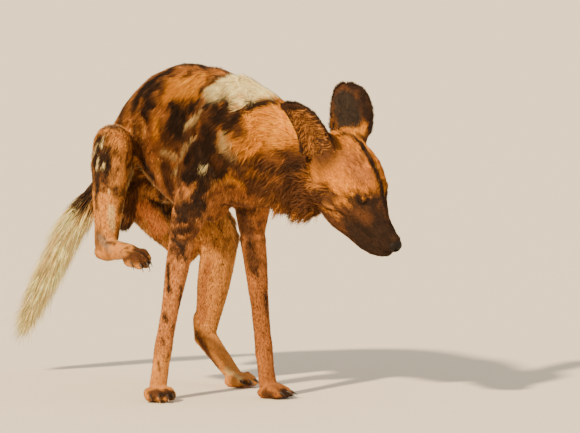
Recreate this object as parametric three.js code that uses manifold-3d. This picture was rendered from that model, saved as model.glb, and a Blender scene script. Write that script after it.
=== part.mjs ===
// An African wild dog at life size, standing on three legs with its back arched, its right hind leg
// lifted and its head hung to the left. Millimetres, +Z up, +X the way the chest faces, +Y its left.
// Every body part is its own closed solid. A part is a loft along its bones, joined with the smaller
// forms that grow on it, and is cut clear of the part it grows from by the gap below.
import * as THREE from "three";
import { mergeVertices } from "three/addons/utils/BufferGeometryUtils.js";
import Module from "manifold-3d";

const wasm = await Module();
wasm.setup();

// Driving dimensions
const GAP = 0.3; // clear space between neighbouring parts
const WITHERS_HEIGHT = 657;
const CHEST_HALF_WIDTH = 77;
const CHEST_DEPTH = 306;
const HIP_BACK = 308; // from the withers back to the hip joints
const HIP_HALF_SPAN = 47;
const HEAD_LENGTH = 246;
const EAR_LENGTH = 133;
const EAR_HALF_WIDTH = 44;
const EAR_THICKNESS = 5;
const EYE_RADIUS = 10;
const LID_THICKNESS = 3;
const EYE_SLIT = 2.6;
const MOUTH_SLIT = 2.4;
const PAW_SIZE = 0.92; // of a paw whose pad is 54 long
const TAIL_LOCKS = 54;
const TAIL_LOCK_LENGTH = 78;
const THROAT_LOCKS = 18;
const THROAT_LOCK_LENGTH = 26;
const JAW_LOCKS = 14;
const SEED = 11;
// The row's origin, on the ground under the middle of the whole body. The joints are measured from
// a point 8 above the ground under the withers.
const ORIGIN = [-117, 22, -8];

const JOINTS = {
  right: {
    shoulder: [58, -56, 440],
    elbow: [-20, -62, 314],
    wrist: [-34, -98, 98],
    forepaw: [-28, -116, 11],
    hip: [-HIP_BACK, -HIP_HALF_SPAN, 452],
    knee: [-146, -149, 507],
    hock: [-168, -152, 288],
    hindpaw: [-50, -163, 293],
  },
  left: {
    shoulder: [70, 58, 440],
    elbow: [22, 78, 322],
    wrist: [40, 92, 95],
    forepaw: [44, 100, 11],
    hip: [-HIP_BACK, HIP_HALF_SPAN, 437],
    knee: [-190, 137, 308],
    hock: [-252, 129, 90],
    hindpaw: [-168, 150, 11],
  },
};
// Each paw's heading: the way its toes point and the way its back faces
const PAWS = {
  right: { fore: [0.96, -0.28, 0], foreUp: [0, 0, 1], hind: [0.9, 0.12, -0.42], hindUp: [0.42, 0, 0.9] },
  left: { fore: [0.8, 0.6, 0], foreUp: [0, 0, 1], hind: [0.95, 0.31, 0], hindUp: [0, 0, 1] },
};
const HEAD_BASE = [234, 118, 504];
const HEAD_FORWARD = [0.59, 0.346, -0.73];
const HEAD_UP = [0.666, 0.278, 0.69];
// Each ear: its root, the way it reaches and the way its hollow faces
const EARS = {
  right: { at: [291, 76, 500], reach: [-0.06, -0.64, 0.766], hollow: [0.58, -0.623, -0.52] },
  left: { at: [232, 184, 513], reach: [-0.48, 0.18, 0.86], hollow: [-0.73, 0.463, -0.484] },
};
const TAIL_LINE = [
  [-388, -6, 440],
  [-422, -14, 400],
  [-456, -30, 350],
  [-494, -48, 296],
  [-525, -64, 236],
  [-553, -80, 177],
  [-578, -94, 124],
];
const TAIL_CORE = [19, 15, 13, 14, 14, 12, 6];
const BRUSH_RADIUS = [20, 20, 25, 31, 31, 27, 12];

const X_AXIS = new THREE.Vector3(1, 0, 0);
const Z_AXIS = new THREE.Vector3(0, 0, 1);
const vector = (p) => (p.isVector3 ? p.clone() : new THREE.Vector3(...p));
const mix = (a, b, t) => vector(a).lerp(vector(b), t);
const offset = (p, dx, dy, dz) => vector(p).add(new THREE.Vector3(dx, dy, dz));

// A repeatable random number from 0 to 1
let seed = SEED;
function random() {
  seed = (seed * 16807) % 2147483647;
  return seed / 2147483647;
}

// A closed mesh as a solid with its faces outward, its skin moved out by `grow`
function solid(geometry, grow = 0) {
  const bare = new THREE.BufferGeometry();
  bare.setAttribute("position", geometry.getAttribute("position"));
  if (geometry.index) bare.setIndex(geometry.index);
  const merged = mergeVertices(bare, 1e-3);
  const triVerts = new Uint32Array(merged.index.array);
  const vertProperties = merged.attributes.position.array;
  let made = new wasm.Manifold(new wasm.Mesh({ numProp: 3, vertProperties, triVerts }));
  if (made.volume() < 0) {
    for (let i = 0; i < triVerts.length; i += 3) {
      [triVerts[i], triVerts[i + 1]] = [triVerts[i + 1], triVerts[i]];
    }
    made = new wasm.Manifold(new wasm.Mesh({ numProp: 3, vertProperties, triVerts }));
  }
  if (grow === 0) return made;
  merged.setIndex(new THREE.BufferAttribute(triVerts, 1));
  merged.computeVertexNormals();
  const normals = merged.attributes.normal.array;
  const moved = vertProperties.map((value, i) => value + grow * normals[i]);
  return new wasm.Manifold(new wasm.Mesh({ numProp: 3, vertProperties: moved, triVerts }));
}

// The largest closed surface of a solid
function largest(made) {
  const bodies = made.decompose();
  return bodies.reduce((best, body) => (body.volume() > best.volume() ? body : best));
}

function geometryOf(made) {
  const mesh = made.getMesh();
  const geometry = new THREE.BufferGeometry();
  geometry.setAttribute("position", new THREE.BufferAttribute(mesh.vertProperties, 3));
  geometry.setIndex(new THREE.BufferAttribute(mesh.triVerts, 1));
  const flat = geometry.toNonIndexed();
  flat.computeVertexNormals();
  return flat;
}

const union = (pieces) => pieces.reduce((all, piece) => all.add(piece));

// A closed body along a smooth line through its stations. A station has its place, its half width
// to each side, and its reach towards the up direction (high) and away from it (low).
function loft(stations, { sides = 12, steps = 3, up = Z_AXIS, grow = 0, matrix = null } = {}) {
  const line = new THREE.CatmullRomCurve3(stations.map((s) => vector(s.at)), false, "centripetal");
  const sizes = new THREE.CatmullRomCurve3(
    stations.map((s) => new THREE.Vector3(s.wide, s.high, s.low ?? s.high)),
    false,
    "catmullrom",
    0.5,
  );
  const rings = (stations.length - 1) * steps;
  const places = [];
  for (let i = 0; i <= rings; i++) {
    const centre = line.getPoint(i / rings);
    const ahead = line.getTangent(i / rings);
    const side = new THREE.Vector3().crossVectors(ahead, up).normalize();
    const above = new THREE.Vector3().crossVectors(side, ahead).normalize();
    const size = sizes.getPoint(i / rings);
    for (let j = 0; j < sides; j++) {
      const angle = (2 * Math.PI * j) / sides;
      const reach = Math.sin(angle) > 0 ? size.y : size.z;
      const place = centre.clone();
      place.addScaledVector(side, Math.cos(angle) * size.x);
      place.addScaledVector(above, Math.sin(angle) * reach);
      places.push(place);
    }
  }
  const first = places.push(line.getPoint(0)) - 1;
  const last = places.push(line.getPoint(1)) - 1;
  const index = [];
  for (let i = 0; i < rings; i++) {
    for (let j = 0; j < sides; j++) {
      const a = i * sides + j;
      const b = i * sides + ((j + 1) % sides);
      index.push(a, b, a + sides, b, b + sides, a + sides);
    }
  }
  for (let j = 0; j < sides; j++) {
    const next = (j + 1) % sides;
    index.push(first, next, j, last, rings * sides + j, rings * sides + next);
  }
  const geometry = new THREE.BufferGeometry().setFromPoints(places);
  geometry.setIndex(index);
  if (matrix) geometry.applyMatrix4(matrix);
  return solid(geometry, grow);
}

// A ball stretched to three half sizes, in a frame of its own
function ball(at, radii, { grow = 0, matrix = null, turn = [0, 0, 0], fine = 14 } = {}) {
  const geometry = new THREE.SphereGeometry(1, fine, Math.round(fine * 0.7));
  geometry.scale(...radii);
  geometry.applyMatrix4(new THREE.Matrix4().makeRotationFromEuler(new THREE.Euler(...turn)));
  geometry.translate(...vector(at).toArray());
  if (matrix) geometry.applyMatrix4(matrix);
  return solid(geometry, grow);
}

// A frame with its X along `ahead` and its Z near `above`
function frameAt(at, ahead, above) {
  const x = vector(ahead).normalize();
  const y = new THREE.Vector3().crossVectors(vector(above), x).normalize();
  const z = new THREE.Vector3().crossVectors(x, y);
  return new THREE.Matrix4().makeBasis(x, y, z).setPosition(vector(at));
}

const HEAD = frameAt(HEAD_BASE, HEAD_FORWARD, HEAD_UP);

// Torso: from the breast back over the arched loins to the root of the tail
function torso(grow = 0) {
  const top = WITHERS_HEIGHT;
  const w = CHEST_HALF_WIDTH;
  const d = CHEST_DEPTH / 2;
  const trunk = loft(
    [
      { at: [122, 12, 446], wide: 14, high: 18, low: 22 },
      { at: [96, 8, top - 1.2 * d], wide: w * 0.66, high: 94, low: 98 },
      { at: [40, 2, top - d - 4], wide: w * 0.9, high: d * 0.97, low: d * 0.97 },
      { at: [-40, 0, top - d + 1], wide: w, high: d, low: d },
      { at: [-120, 0, top - d + 10], wide: w * 1.07, high: d * 0.96, low: d * 0.9 },
      { at: [-190, 0, top - d + 14], wide: w * 1.04, high: d * 0.78, low: d * 0.72 },
      { at: [-250, 0, top - d + 4], wide: w * 0.92, high: d * 0.55, low: d * 0.56 },
      { at: [-305, 0, 474], wide: w * 0.8, high: 62, low: 66 },
      { at: [-355, -2, 440], wide: w * 0.66, high: 48, low: 58 },
      { at: [-395, -4, 410], wide: w * 0.4, high: 34, low: 40 },
      { at: [-412, -6, 396], wide: 9, high: 9, low: 11 },
    ],
    { sides: 20, steps: 2, grow },
  );
  const sheath = loft(
    [
      { at: [-120, -2, 384], wide: 10, high: 12 },
      { at: [-190, -4, 396], wide: 13, high: 20 },
      { at: [-238, -10, 402], wide: 12, high: 20 },
      { at: [-262, -14, 392], wide: 8, high: 9 },
    ],
    { sides: 8, steps: 1, grow },
  );
  const pouch = loft(
    [
      { at: [-306, -14, 424], wide: 18, high: 20 },
      { at: [-316, -18, 376], wide: 22, high: 24 },
      { at: [-321, -21, 338], wide: 24, high: 27 },
      { at: [-321, -22, 312], wide: 12, high: 14 },
    ],
    { sides: 10, steps: 2, up: X_AXIS, grow },
  );
  return union([trunk, sheath, pouch]);
}

function neckStations() {
  return [
    { at: [-20, 4, 528], wide: 40, high: 94, low: 100 },
    { at: [45, 22, 520], wide: 60, high: 129, low: 140 },
    { at: [100, 46, 506], wide: 61, high: 112, low: 128 },
    { at: [150, 70, 490], wide: 58, high: 92, low: 112 },
    { at: [195, 93, 474], wide: 55, high: 70, low: 102 },
    { at: [236, 118, 458], wide: 47, high: 52, low: 99 },
    { at: [256, 130, 444], wide: 34, high: 30, low: 86 },
  ];
}
const neck = (grow = 0) => loft(neckStations(), { sides: 16, steps: 1, grow });

// The head without its openings, in its own frame: X to the nose, Y left, Z to the crown
function headForm(grow = 0) {
  const long = HEAD_LENGTH;
  const options = { grow, matrix: HEAD };
  const skull = [
    { at: [-16, 0, -8], wide: 30, high: 34, low: 34 },
    { at: [8, 0, -6], wide: 54, high: 64, low: 56 },
    { at: [46, 0, -6], wide: 66, high: 77, low: 64 },
    { at: [88, 0, -6], wide: 68, high: 77, low: 62 },
    { at: [120, 0, -8], wide: 60, high: 65, low: 50 },
    { at: [148, 0, -12], wide: 45, high: 46, low: 36 },
    { at: [182, 0, -18], wide: 33, high: 31, low: 28 },
    { at: [214, 0, -20], wide: 28, high: 25, low: 22 },
    { at: [long - 12, 0, -20], wide: 22, high: 19, low: 19 },
    { at: [long - 4, 0, -20], wide: 13, high: 12, low: 12 },
  ];
  const jaw = [
    { at: [30, 0, -46], wide: 26, high: 20, low: 26 },
    { at: [78, 0, -52], wide: 45, high: 30, low: 42 },
    { at: [124, 0, -52], wide: 40, high: 26, low: 38 },
    { at: [164, 0, -48], wide: 30, high: 22, low: 31 },
    { at: [200, 0, -44], wide: 24, high: 18, low: 24 },
    { at: [226, 0, -40], wide: 17, high: 12, low: 17 },
    { at: [232, 0, -37], wide: 8, high: 7, low: 8 },
  ];
  const pieces = [
    loft(skull, { sides: 16, steps: 2, ...options }),
    loft(jaw, { sides: 12, steps: 1, ...options }),
  ];
  for (const out of [-1, 1]) {
    pieces.push(
      ball([72, 40 * out, -24], [48, 25, 38], { ...options, fine: 12 }),
      ball([12, 40 * out, 26], [36, 27, 32], { ...options, fine: 9 }),
      ball([116, 30 * out, 34], [26, 15, 11], { ...options, fine: 8 }),
    );
  }
  return union(pieces);
}

// The eyeballs, in the head's frame
const EYE_AT = { right: [134, -38, 16], left: [134, 38, 16] };

// The head with its lids, its closed mouth and the hollows for the eyeballs
function head() {
  let made = headForm();
  const core = loft(
    [
      { at: [90, 0, -38], wide: 47, high: 30 },
      { at: [125, 0, -38], wide: 40, high: 30 },
      { at: [155, 0, -38], wide: 30, high: 30 },
      { at: [190, 0, -38], wide: 22, high: 30 },
      { at: [218, 0, -38], wide: 17, high: 26 },
      { at: [228, 0, -38], wide: 9, high: 16 },
    ],
    { sides: 12, steps: 1, matrix: HEAD },
  );
  const lips = [[112, -39], [150, -41], [190, -37], [222, -31], [262, -30]];
  const plate = new THREE.Shape();
  lips.forEach(([x, z], i) => (i ? plate.lineTo(x, z) : plate.moveTo(x, z)));
  [...lips].reverse().forEach(([x, z]) => plate.lineTo(x, z - MOUTH_SLIT));
  const slab = new THREE.ExtrudeGeometry(plate, { depth: 160, bevelEnabled: false });
  slab.rotateX(Math.PI / 2);
  slab.translate(0, 80, 0);
  slab.applyMatrix4(HEAD);
  made = made.subtract(solid(slab).subtract(core));
  for (const side of ["right", "left"]) {
    const out = side === "left" ? 1 : -1;
    const lid = EYE_RADIUS + LID_THICKNESS;
    made = made.add(ball(EYE_AT[side], [lid, lid, lid], { matrix: HEAD, fine: 12 }));
    const slit = new THREE.BoxGeometry(17, 24, EYE_SLIT);
    slit.rotateY(0.35);
    slit.translate(...offset(EYE_AT[side], 2.6, 15 * out, -1.4).toArray());
    slit.applyMatrix4(HEAD);
    made = made.subtract(solid(slit));
    made = made.subtract(ball(EYE_AT[side], [EYE_RADIUS, EYE_RADIUS, EYE_RADIUS], { grow: GAP, matrix: HEAD, fine: 10 }));
  }
  return made;
}

function nose() {
  const pad = ball([HEAD_LENGTH - 8, 0, -13], [15, 18, 14], { matrix: HEAD, fine: 12 });
  const holes = [-1, 1].map((out) =>
    ball([HEAD_LENGTH + 2, 8 * out, -13], [8, 3.6, 4.4], { matrix: HEAD, turn: [0, 0, -0.5 * out], fine: 7 }),
  );
  return pad.subtract(union(holes));
}

// An ear: a bent shell, wide above its root and round at its tip, its back towards its own Z
function ear(side, grow = 0) {
  const { at, reach, hollow } = EARS[side];
  const w = EAR_HALF_WIDTH;
  const rows = [
    { x: -20, wide: 0.5, deep: 24 },
    { x: 4, wide: 0.7, deep: 29 },
    { x: 0.2 * EAR_LENGTH, wide: 0.88, deep: 29 },
    { x: 0.4 * EAR_LENGTH, wide: 1, deep: 26 },
    { x: 0.6 * EAR_LENGTH, wide: 1.02, deep: 21 },
    { x: 0.78 * EAR_LENGTH, wide: 0.9, deep: 15 },
    { x: 0.91 * EAR_LENGTH, wide: 0.66, deep: 9 },
    { x: EAR_LENGTH, wide: 0.26, deep: 4 },
  ];
  const across = 8;
  const places = [];
  for (const row of rows) {
    for (let i = 0; i <= across; i++) {
      const t = (2 * i) / across - 1;
      places.push(new THREE.Vector3(row.x, t * w * row.wide, row.deep * (1 - t * t)));
    }
    for (let i = across; i >= 0; i--) {
      const t = ((2 * i) / across - 1) * 0.97;
      const thick = EAR_THICKNESS * (Math.abs(t) > 0.9 ? 0.6 : 1);
      places.push(new THREE.Vector3(row.x, t * w * row.wide, row.deep * (1 - t * t) - thick));
    }
  }
  const ring = 2 * (across + 1);
  const index = [];
  for (let i = 0; i + 1 < rows.length; i++) {
    for (let j = 0; j < ring; j++) {
      const a = i * ring + j;
      const b = i * ring + ((j + 1) % ring);
      index.push(a, b, a + ring, b, b + ring, a + ring);
    }
  }
  const end = (rows.length - 1) * ring;
  for (let j = 0; j < across; j++) {
    const k = ring - 1 - j;
    index.push(j, k, j + 1, k, k - 1, j + 1);
    index.push(end + j, end + j + 1, end + k, end + k, end + j + 1, end + k - 1);
  }
  const geometry = new THREE.BufferGeometry().setFromPoints(places);
  geometry.setIndex(index);
  geometry.applyMatrix4(frameAt(at, reach, vector(hollow).negate()));
  return solid(geometry, grow);
}

// Shoulder blade and upper arm
function arm(side, grow = 0) {
  const { shoulder, elbow } = JOINTS[side];
  const out = side === "left" ? 1 : -1;
  return loft(
    [
      { at: [-14, 36 * out, 612], wide: 10, high: 20, low: 26 },
      { at: [0, 45 * out, 572], wide: 22, high: 40, low: 46 },
      { at: offset(shoulder, -42, -6 * out, 62), wide: 28, high: 52, low: 56 },
      { at: offset(shoulder, -24, 0, 0), wide: 32, high: 54, low: 62 },
      { at: mix(shoulder, elbow, 0.55).add(new THREE.Vector3(-10, 0, 0)), wide: 30, high: 46, low: 50 },
      { at: offset(elbow, -2, 0, 6), wide: 25, high: 29, low: 34 },
      { at: offset(elbow, 0, 0, -18), wide: 16, high: 18, low: 20 },
    ],
    { sides: 14, steps: 1, up: X_AXIS, grow },
  );
}

function forearm(side, grow = 0) {
  const { elbow, wrist, forepaw } = JOINTS[side];
  return loft(
    [
      { at: offset(elbow, -2, 0, 20), wide: 18, high: 20, low: 24 },
      { at: offset(elbow, 0, 0, -6), wide: 25, high: 27, low: 34 },
      { at: mix(elbow, wrist, 0.25), wide: 23, high: 26, low: 27 },
      { at: mix(elbow, wrist, 0.6), wide: 18, high: 19, low: 19 },
      { at: mix(elbow, wrist, 0.88), wide: 17, high: 17, low: 17 },
      { at: wrist, wide: 18.5, high: 18, low: 18 },
      { at: mix(wrist, forepaw, 0.5), wide: 17, high: 16, low: 17 },
      { at: mix(wrist, forepaw, 0.9), wide: 19, high: 15, low: 15 },
    ],
    { sides: 12, steps: 1, up: X_AXIS, grow },
  );
}

function thigh(side, grow = 0) {
  const { hip, knee } = JOINTS[side];
  const lifted = side === "right";
  const out = lifted ? -1 : 1;
  const ham = loft(
    [
      { at: [-396, 12, 408], wide: 18, high: 20 },
      { at: [-362, 34, 366], wide: 32, high: 36 },
      { at: [-312, 70, 318], wide: 38, high: 42 },
      { at: [-256, 114, 262], wide: 34, high: 36 },
    ],
    { sides: 10, steps: 1, grow },
  );
  const upper = loft(
    [
      { at: offset(hip, -52, -20 * out, -8), wide: 20, high: 24, low: lifted ? 34 : 44 },
      { at: offset(hip, -18, 0, -8), wide: 40, high: 52, low: lifted ? 78 : 104 },
      { at: mix(hip, knee, 0.4), wide: 44, high: lifted ? 50 : 60, low: lifted ? 80 : 98 },
      { at: mix(hip, knee, 0.78), wide: 40, high: 42, low: lifted ? 58 : 72 },
      { at: knee, wide: 35, high: 33, low: 42 },
      { at: mix(hip, knee, 1.12), wide: 15, high: 15, low: 17 },
    ],
    { sides: 14, steps: 1, up: Z_AXIS, grow },
  );
  return lifted ? upper : upper.add(ham);
}

function shin(side, grow = 0) {
  const { knee, hock } = JOINTS[side];
  return loft(
    [
      { at: mix(knee, hock, -0.11), wide: 16, high: 16, low: 16 },
      { at: mix(knee, hock, 0.02), wide: 34, high: 34, low: 44 },
      { at: mix(knee, hock, 0.24), wide: 33, high: 35, low: 56 },
      { at: mix(knee, hock, 0.5), wide: 31, high: 36, low: 46 },
      { at: mix(knee, hock, 0.78), wide: 24, high: 30, low: 35 },
      { at: mix(knee, hock, 0.97), wide: 21, high: 25, low: 33 },
      { at: mix(knee, hock, 1.06), wide: 12, high: 13, low: 15 },
    ],
    { sides: 12, steps: 1, up: X_AXIS, grow },
  );
}

function hindfoot(side, grow = 0) {
  const { hock, hindpaw, knee } = JOINTS[side];
  const along = vector(hindpaw).sub(vector(hock)).normalize();
  const back = vector(hock).sub(vector(knee)).normalize();
  const heel = vector(hock).addScaledVector(along, -36).addScaledVector(back, side === "right" ? 10 : -22);
  return loft(
    [
      { at: heel, wide: 9, high: 9, low: 9 },
      { at: mix(heel, hock, 0.35), wide: 15, high: 15, low: 16 },
      { at: hock, wide: 23, high: 25, low: 25 },
      { at: mix(hock, hindpaw, 0.3), wide: 20, high: 20, low: 22 },
      { at: mix(hock, hindpaw, 0.7), wide: 18, high: 17, low: 18 },
      { at: hindpaw, wide: 19, high: 14, low: 13 },
    ],
    { sides: 12, steps: 1, up: vector(PAWS[side].hindUp), grow },
  );
}

// A paw in its own frame: four clawed toes round a broad pad
function paw(at, ahead, up, grow = 0) {
  const matrix = frameAt(at, ahead, up);
  const s = PAW_SIZE;
  const pieces = [ball([2 * s, 0, -8 * s], [28 * s, 25 * s, 17 * s], { grow, matrix, fine: 8 })];
  for (const toe of TOES) {
    pieces.push(
      loft(
        [
          { at: [2 * s, toe.y * 0.62 * s, -2 * s], wide: 9 * s, high: 9 * s },
          { at: [toe.x * 0.45 * s, toe.y * 0.9 * s, 1 * s], wide: 12 * s, high: 11.5 * s, low: 13 * s },
          { at: [toe.x * 0.85 * s, toe.y * s, -6 * s], wide: 11.5 * s, high: 11 * s, low: 14 * s },
          { at: [(toe.x + 5) * s, toe.y * s, -13 * s], wide: 6 * s, high: 6 * s },
        ],
        { sides: 7, steps: 1, grow, matrix },
      ),
      loft(
        [
          { at: [(toe.x - 2) * s, toe.y * s, -6 * s], wide: 3.4 * s, high: 4.4 * s },
          { at: [(toe.x + 9) * s, toe.y * s, -10 * s], wide: 2.6 * s, high: 3.2 * s },
          { at: [(toe.x + 16) * s, toe.y * s, -18 * s], wide: 0.9 * s, high: 1 * s },
        ],
        { sides: 4, steps: 1, grow, matrix },
      ),
    );
  }
  return union(pieces);
}
const TOES = [
  { x: 32, y: -25 },
  { x: 46, y: -9.5 },
  { x: 46, y: 9.5 },
  { x: 32, y: 25 },
];

// Everything below the ground, taken off the soles
const underground = solid(new THREE.BoxGeometry(2400, 2400, 200).translate(0, 0, ORIGIN[2] - 100));

const colours = {
  coat: 0xb5763a,
  dark: 0x2c211b,
  white: 0xe8dcc4,
};
const group = new THREE.Group();
function add(name, made, colour, roughness = 0.85) {
  const material = new THREE.MeshStandardMaterial({ color: colour, roughness, metalness: 0 });
  const whole = largest(solid(geometryOf(largest(made))));
  const mesh = new THREE.Mesh(geometryOf(whole), material);
  mesh.name = name;
  mesh.position.set(-ORIGIN[0], -ORIGIN[1], -ORIGIN[2]);
  group.add(mesh);
}

// A flat tapered lock of hair from its root along `ahead`, bending towards `droop`
function lock(root, ahead, droop, long, wide, flatTo) {
  const start = vector(root);
  const way = vector(ahead).normalize();
  const stations = [0, 0.35, 0.7, 1].map((t, i) => ({
    at: start
      .clone()
      .addScaledVector(way, long * t)
      .addScaledVector(vector(droop), long * t * t * 0.5),
    wide: wide * [0.8, 1, 0.7, 0.08][i],
    high: wide * [0.4, 0.45, 0.3, 0.06][i],
  }));
  return loft(stations, { sides: 4, steps: 1, up: vector(flatTo) });
}

// The brush: locks that leave the tail on every side and lie back along it
function tailBrush() {
  const line = new THREE.CatmullRomCurve3(TAIL_LINE.map(vector), false, "centripetal");
  const sizeAt = (list, t) => {
    const place = t * (list.length - 1);
    const i = Math.min(list.length - 2, Math.floor(place));
    return list[i] + (list[i + 1] - list[i]) * (place - i);
  };
  const pieces = [
    loft(TAIL_LINE.map((at, i) => ({ at, wide: TAIL_CORE[i], high: TAIL_CORE[i] })), {
      sides: 10,
      steps: 2,
    }),
  ];
  for (let i = 0; i < TAIL_LOCKS; i++) {
    const t = 0.16 + 0.82 * ((i + 0.5) / TAIL_LOCKS);
    const at = line.getPointAt(t);
    const ahead = line.getTangentAt(t);
    const side = new THREE.Vector3().crossVectors(ahead, Z_AXIS).normalize();
    const above = new THREE.Vector3().crossVectors(side, ahead).normalize();
    const angle = i * 2.4 + (random() - 0.5) * 0.6;
    const out = side.clone().multiplyScalar(Math.cos(angle)).addScaledVector(above, Math.sin(angle));
    const core = sizeAt(TAIL_CORE, t);
    const long = TAIL_LOCK_LENGTH * (0.85 + 0.3 * random()) * (t < 0.3 ? 0.75 : 1);
    const reach = sizeAt(BRUSH_RADIUS, Math.min(1, t + 0.12));
    const root = at.clone().addScaledVector(out, core * 0.35);
    const lean = Math.min(0.7, (reach - core * 0.35) / long);
    const way = ahead.clone().addScaledVector(out, lean * 1.25);
    pieces.push(lock(root, way, out.clone().multiplyScalar(-lean * 0.5), long, 11, out));
  }
  return union(pieces);
}

// The fringe that hangs from the throat and the underside of the neck
function throatFringe() {
  const stations = neckStations();
  const line = new THREE.CatmullRomCurve3(stations.map((s) => vector(s.at)), false, "centripetal");
  const pieces = [];
  for (let i = 0; i < THROAT_LOCKS; i++) {
    const t = 0.42 + 0.56 * ((i + 0.5) / THROAT_LOCKS);
    const place = t * (stations.length - 1);
    const k = Math.min(stations.length - 2, Math.floor(place));
    const f = place - k;
    const size = (key) => stations[k][key] * (1 - f) + stations[k + 1][key] * f;
    const at = line.getPoint(t);
    const ahead = line.getTangent(t);
    const side = new THREE.Vector3().crossVectors(ahead, Z_AXIS).normalize();
    const above = new THREE.Vector3().crossVectors(side, ahead).normalize();
    const angle = -Math.PI / 2 + ((i * 0.618) % 1 - 0.5) * 2.0;
    const out = side.clone().multiplyScalar(Math.cos(angle) * size("wide"));
    out.addScaledVector(above, Math.sin(angle) * size("low"));
    const root = at.clone().addScaledVector(out, 0.93);
    const way = out.clone().normalize().addScaledVector(ahead, -0.7);
    way.z -= 0.5;
    const long = THROAT_LOCK_LENGTH * (0.8 + 0.5 * random());
    pieces.push(lock(root, way, [0, 0, -0.3], long, 7.5, side.cross(way)));
  }
  return union(pieces);
}

// The ruff that hangs behind the jaw, in the head's frame turned into the row's
function jawRuff() {
  const pieces = [];
  for (let i = 0; i < JAW_LOCKS; i++) {
    const along = (i * 0.618) % 1;
    const round = (i + 0.5) / JAW_LOCKS - 0.5;
    const root = new THREE.Vector3(14 + 70 * along, 64 * round, -82 + 20 * Math.abs(2 * round));
    root.applyMatrix4(HEAD);
    const way = new THREE.Vector3(-0.5, 0.9 * round, -0.75).transformDirection(HEAD);
    way.z -= 0.55;
    const long = THROAT_LOCK_LENGTH * (0.9 + 0.4 * random());
    pieces.push(lock(root, way, [0, 0, -0.3], long, 7.5, [0.3, 0.9, 0.2]));
  }
  return union(pieces);
}

const bodyRoom = torso(GAP);
const headRoom = headForm(GAP);
const neckRoom = neck(GAP);
add("torso", torso(), colours.coat);
const ruff = jawRuff();
add("head", head().add(ruff), colours.coat);
add("nose", nose().subtract(headRoom), colours.dark, 0.5);
const fringe = throatFringe().subtract(arm("left", GAP)).subtract(arm("right", GAP));
add("neck", neck().add(fringe).subtract(bodyRoom).subtract(headRoom).subtract(ruff), colours.coat);
add("tail", tailBrush().subtract(bodyRoom), colours.white);
for (const side of ["right", "left"]) {
  const { forepaw, hindpaw } = JOINTS[side];
  const turn = PAWS[side];
  const eye = ball(EYE_AT[side], [EYE_RADIUS, EYE_RADIUS, EYE_RADIUS], { matrix: HEAD, fine: 10 });
  add(`eye_${side}`, eye, colours.dark, 0.15);
  add(`ear_${side}`, ear(side).subtract(headRoom).subtract(neckRoom), colours.dark);
  add(`arm_${side}`, arm(side).subtract(bodyRoom).subtract(neckRoom), colours.coat);
  add(`forearm_${side}`, forearm(side).subtract(bodyRoom).subtract(arm(side, GAP)), colours.coat);
  const fore = paw(forepaw, turn.fore, turn.foreUp);
  add(`forepaw_${side}`, fore.subtract(forearm(side, GAP)).subtract(underground), colours.dark);
  add(`thigh_${side}`, thigh(side).subtract(bodyRoom), colours.coat);
  add(`shin_${side}`, shin(side).subtract(bodyRoom).subtract(thigh(side, GAP)), colours.coat);
  const foot = hindfoot(side).subtract(shin(side, GAP)).subtract(thigh(side, GAP));
  add(`hindfoot_${side}`, foot, colours.coat);
  const hind = paw(hindpaw, turn.hind, turn.hindUp);
  add(`hindpaw_${side}`, hind.subtract(hindfoot(side, GAP)).subtract(underground), colours.dark);
}

export default group;
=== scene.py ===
"""An African wild dog at life size, standing on three legs, dressed with skin, eyes, claws and fur."""

import logging
import math
from collections.abc import Callable
from dataclasses import dataclass
from enum import Enum
from functools import partial
from typing import NamedTuple

import bmesh
import bpy
import numpy as np
from bpy.types import Material, Mesh, Object
from mathutils import Matrix, Vector
from mathutils.bvhtree import BVHTree


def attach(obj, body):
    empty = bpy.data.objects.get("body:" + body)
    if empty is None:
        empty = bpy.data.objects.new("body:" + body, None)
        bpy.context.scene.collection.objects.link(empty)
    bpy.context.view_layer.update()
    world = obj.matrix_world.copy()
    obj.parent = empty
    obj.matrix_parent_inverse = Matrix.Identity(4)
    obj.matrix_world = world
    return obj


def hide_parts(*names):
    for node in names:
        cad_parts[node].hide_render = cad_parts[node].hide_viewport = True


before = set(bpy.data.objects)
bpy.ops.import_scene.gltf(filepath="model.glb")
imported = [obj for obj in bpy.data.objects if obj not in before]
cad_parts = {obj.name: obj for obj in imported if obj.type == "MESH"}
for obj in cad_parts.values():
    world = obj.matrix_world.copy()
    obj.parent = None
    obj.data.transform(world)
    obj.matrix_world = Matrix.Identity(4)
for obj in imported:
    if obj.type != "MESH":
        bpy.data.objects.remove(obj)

Line = tuple[tuple[float, float], ...]
Triple = tuple[float, float, float]
Balls = tuple[tuple[np.ndarray, float], ...]

LOG = logging.getLogger("wild_dog")
MM = 0.001
SEED = 29
LAYOUT_SHIFT = np.array([117.0, -22.0, 8.0])  # from the origin that the body is laid out from, in mm
UP = np.array([0.0, 0.0, 1.0])
MAP_NAME = "OFBake"
PATCH_SIZE = 0.003  # of the map, for one tuft
WELD = 2e-5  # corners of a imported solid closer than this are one, in metres
LOWEST_HAIR = 0.2  # above the floor, in mm
FUR_SHADE_ON_SKIN = 0.8  # how bright the skin is beside the hair over it: painted shade of the fur that covers it
PROBES = range(-240, 260, 20)  # mm before and behind the picture plane, where a drawn point misses the skin
PRIMES = np.array([73856093, 19349663, 83492791])  # they scatter the cells of the noise


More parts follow.
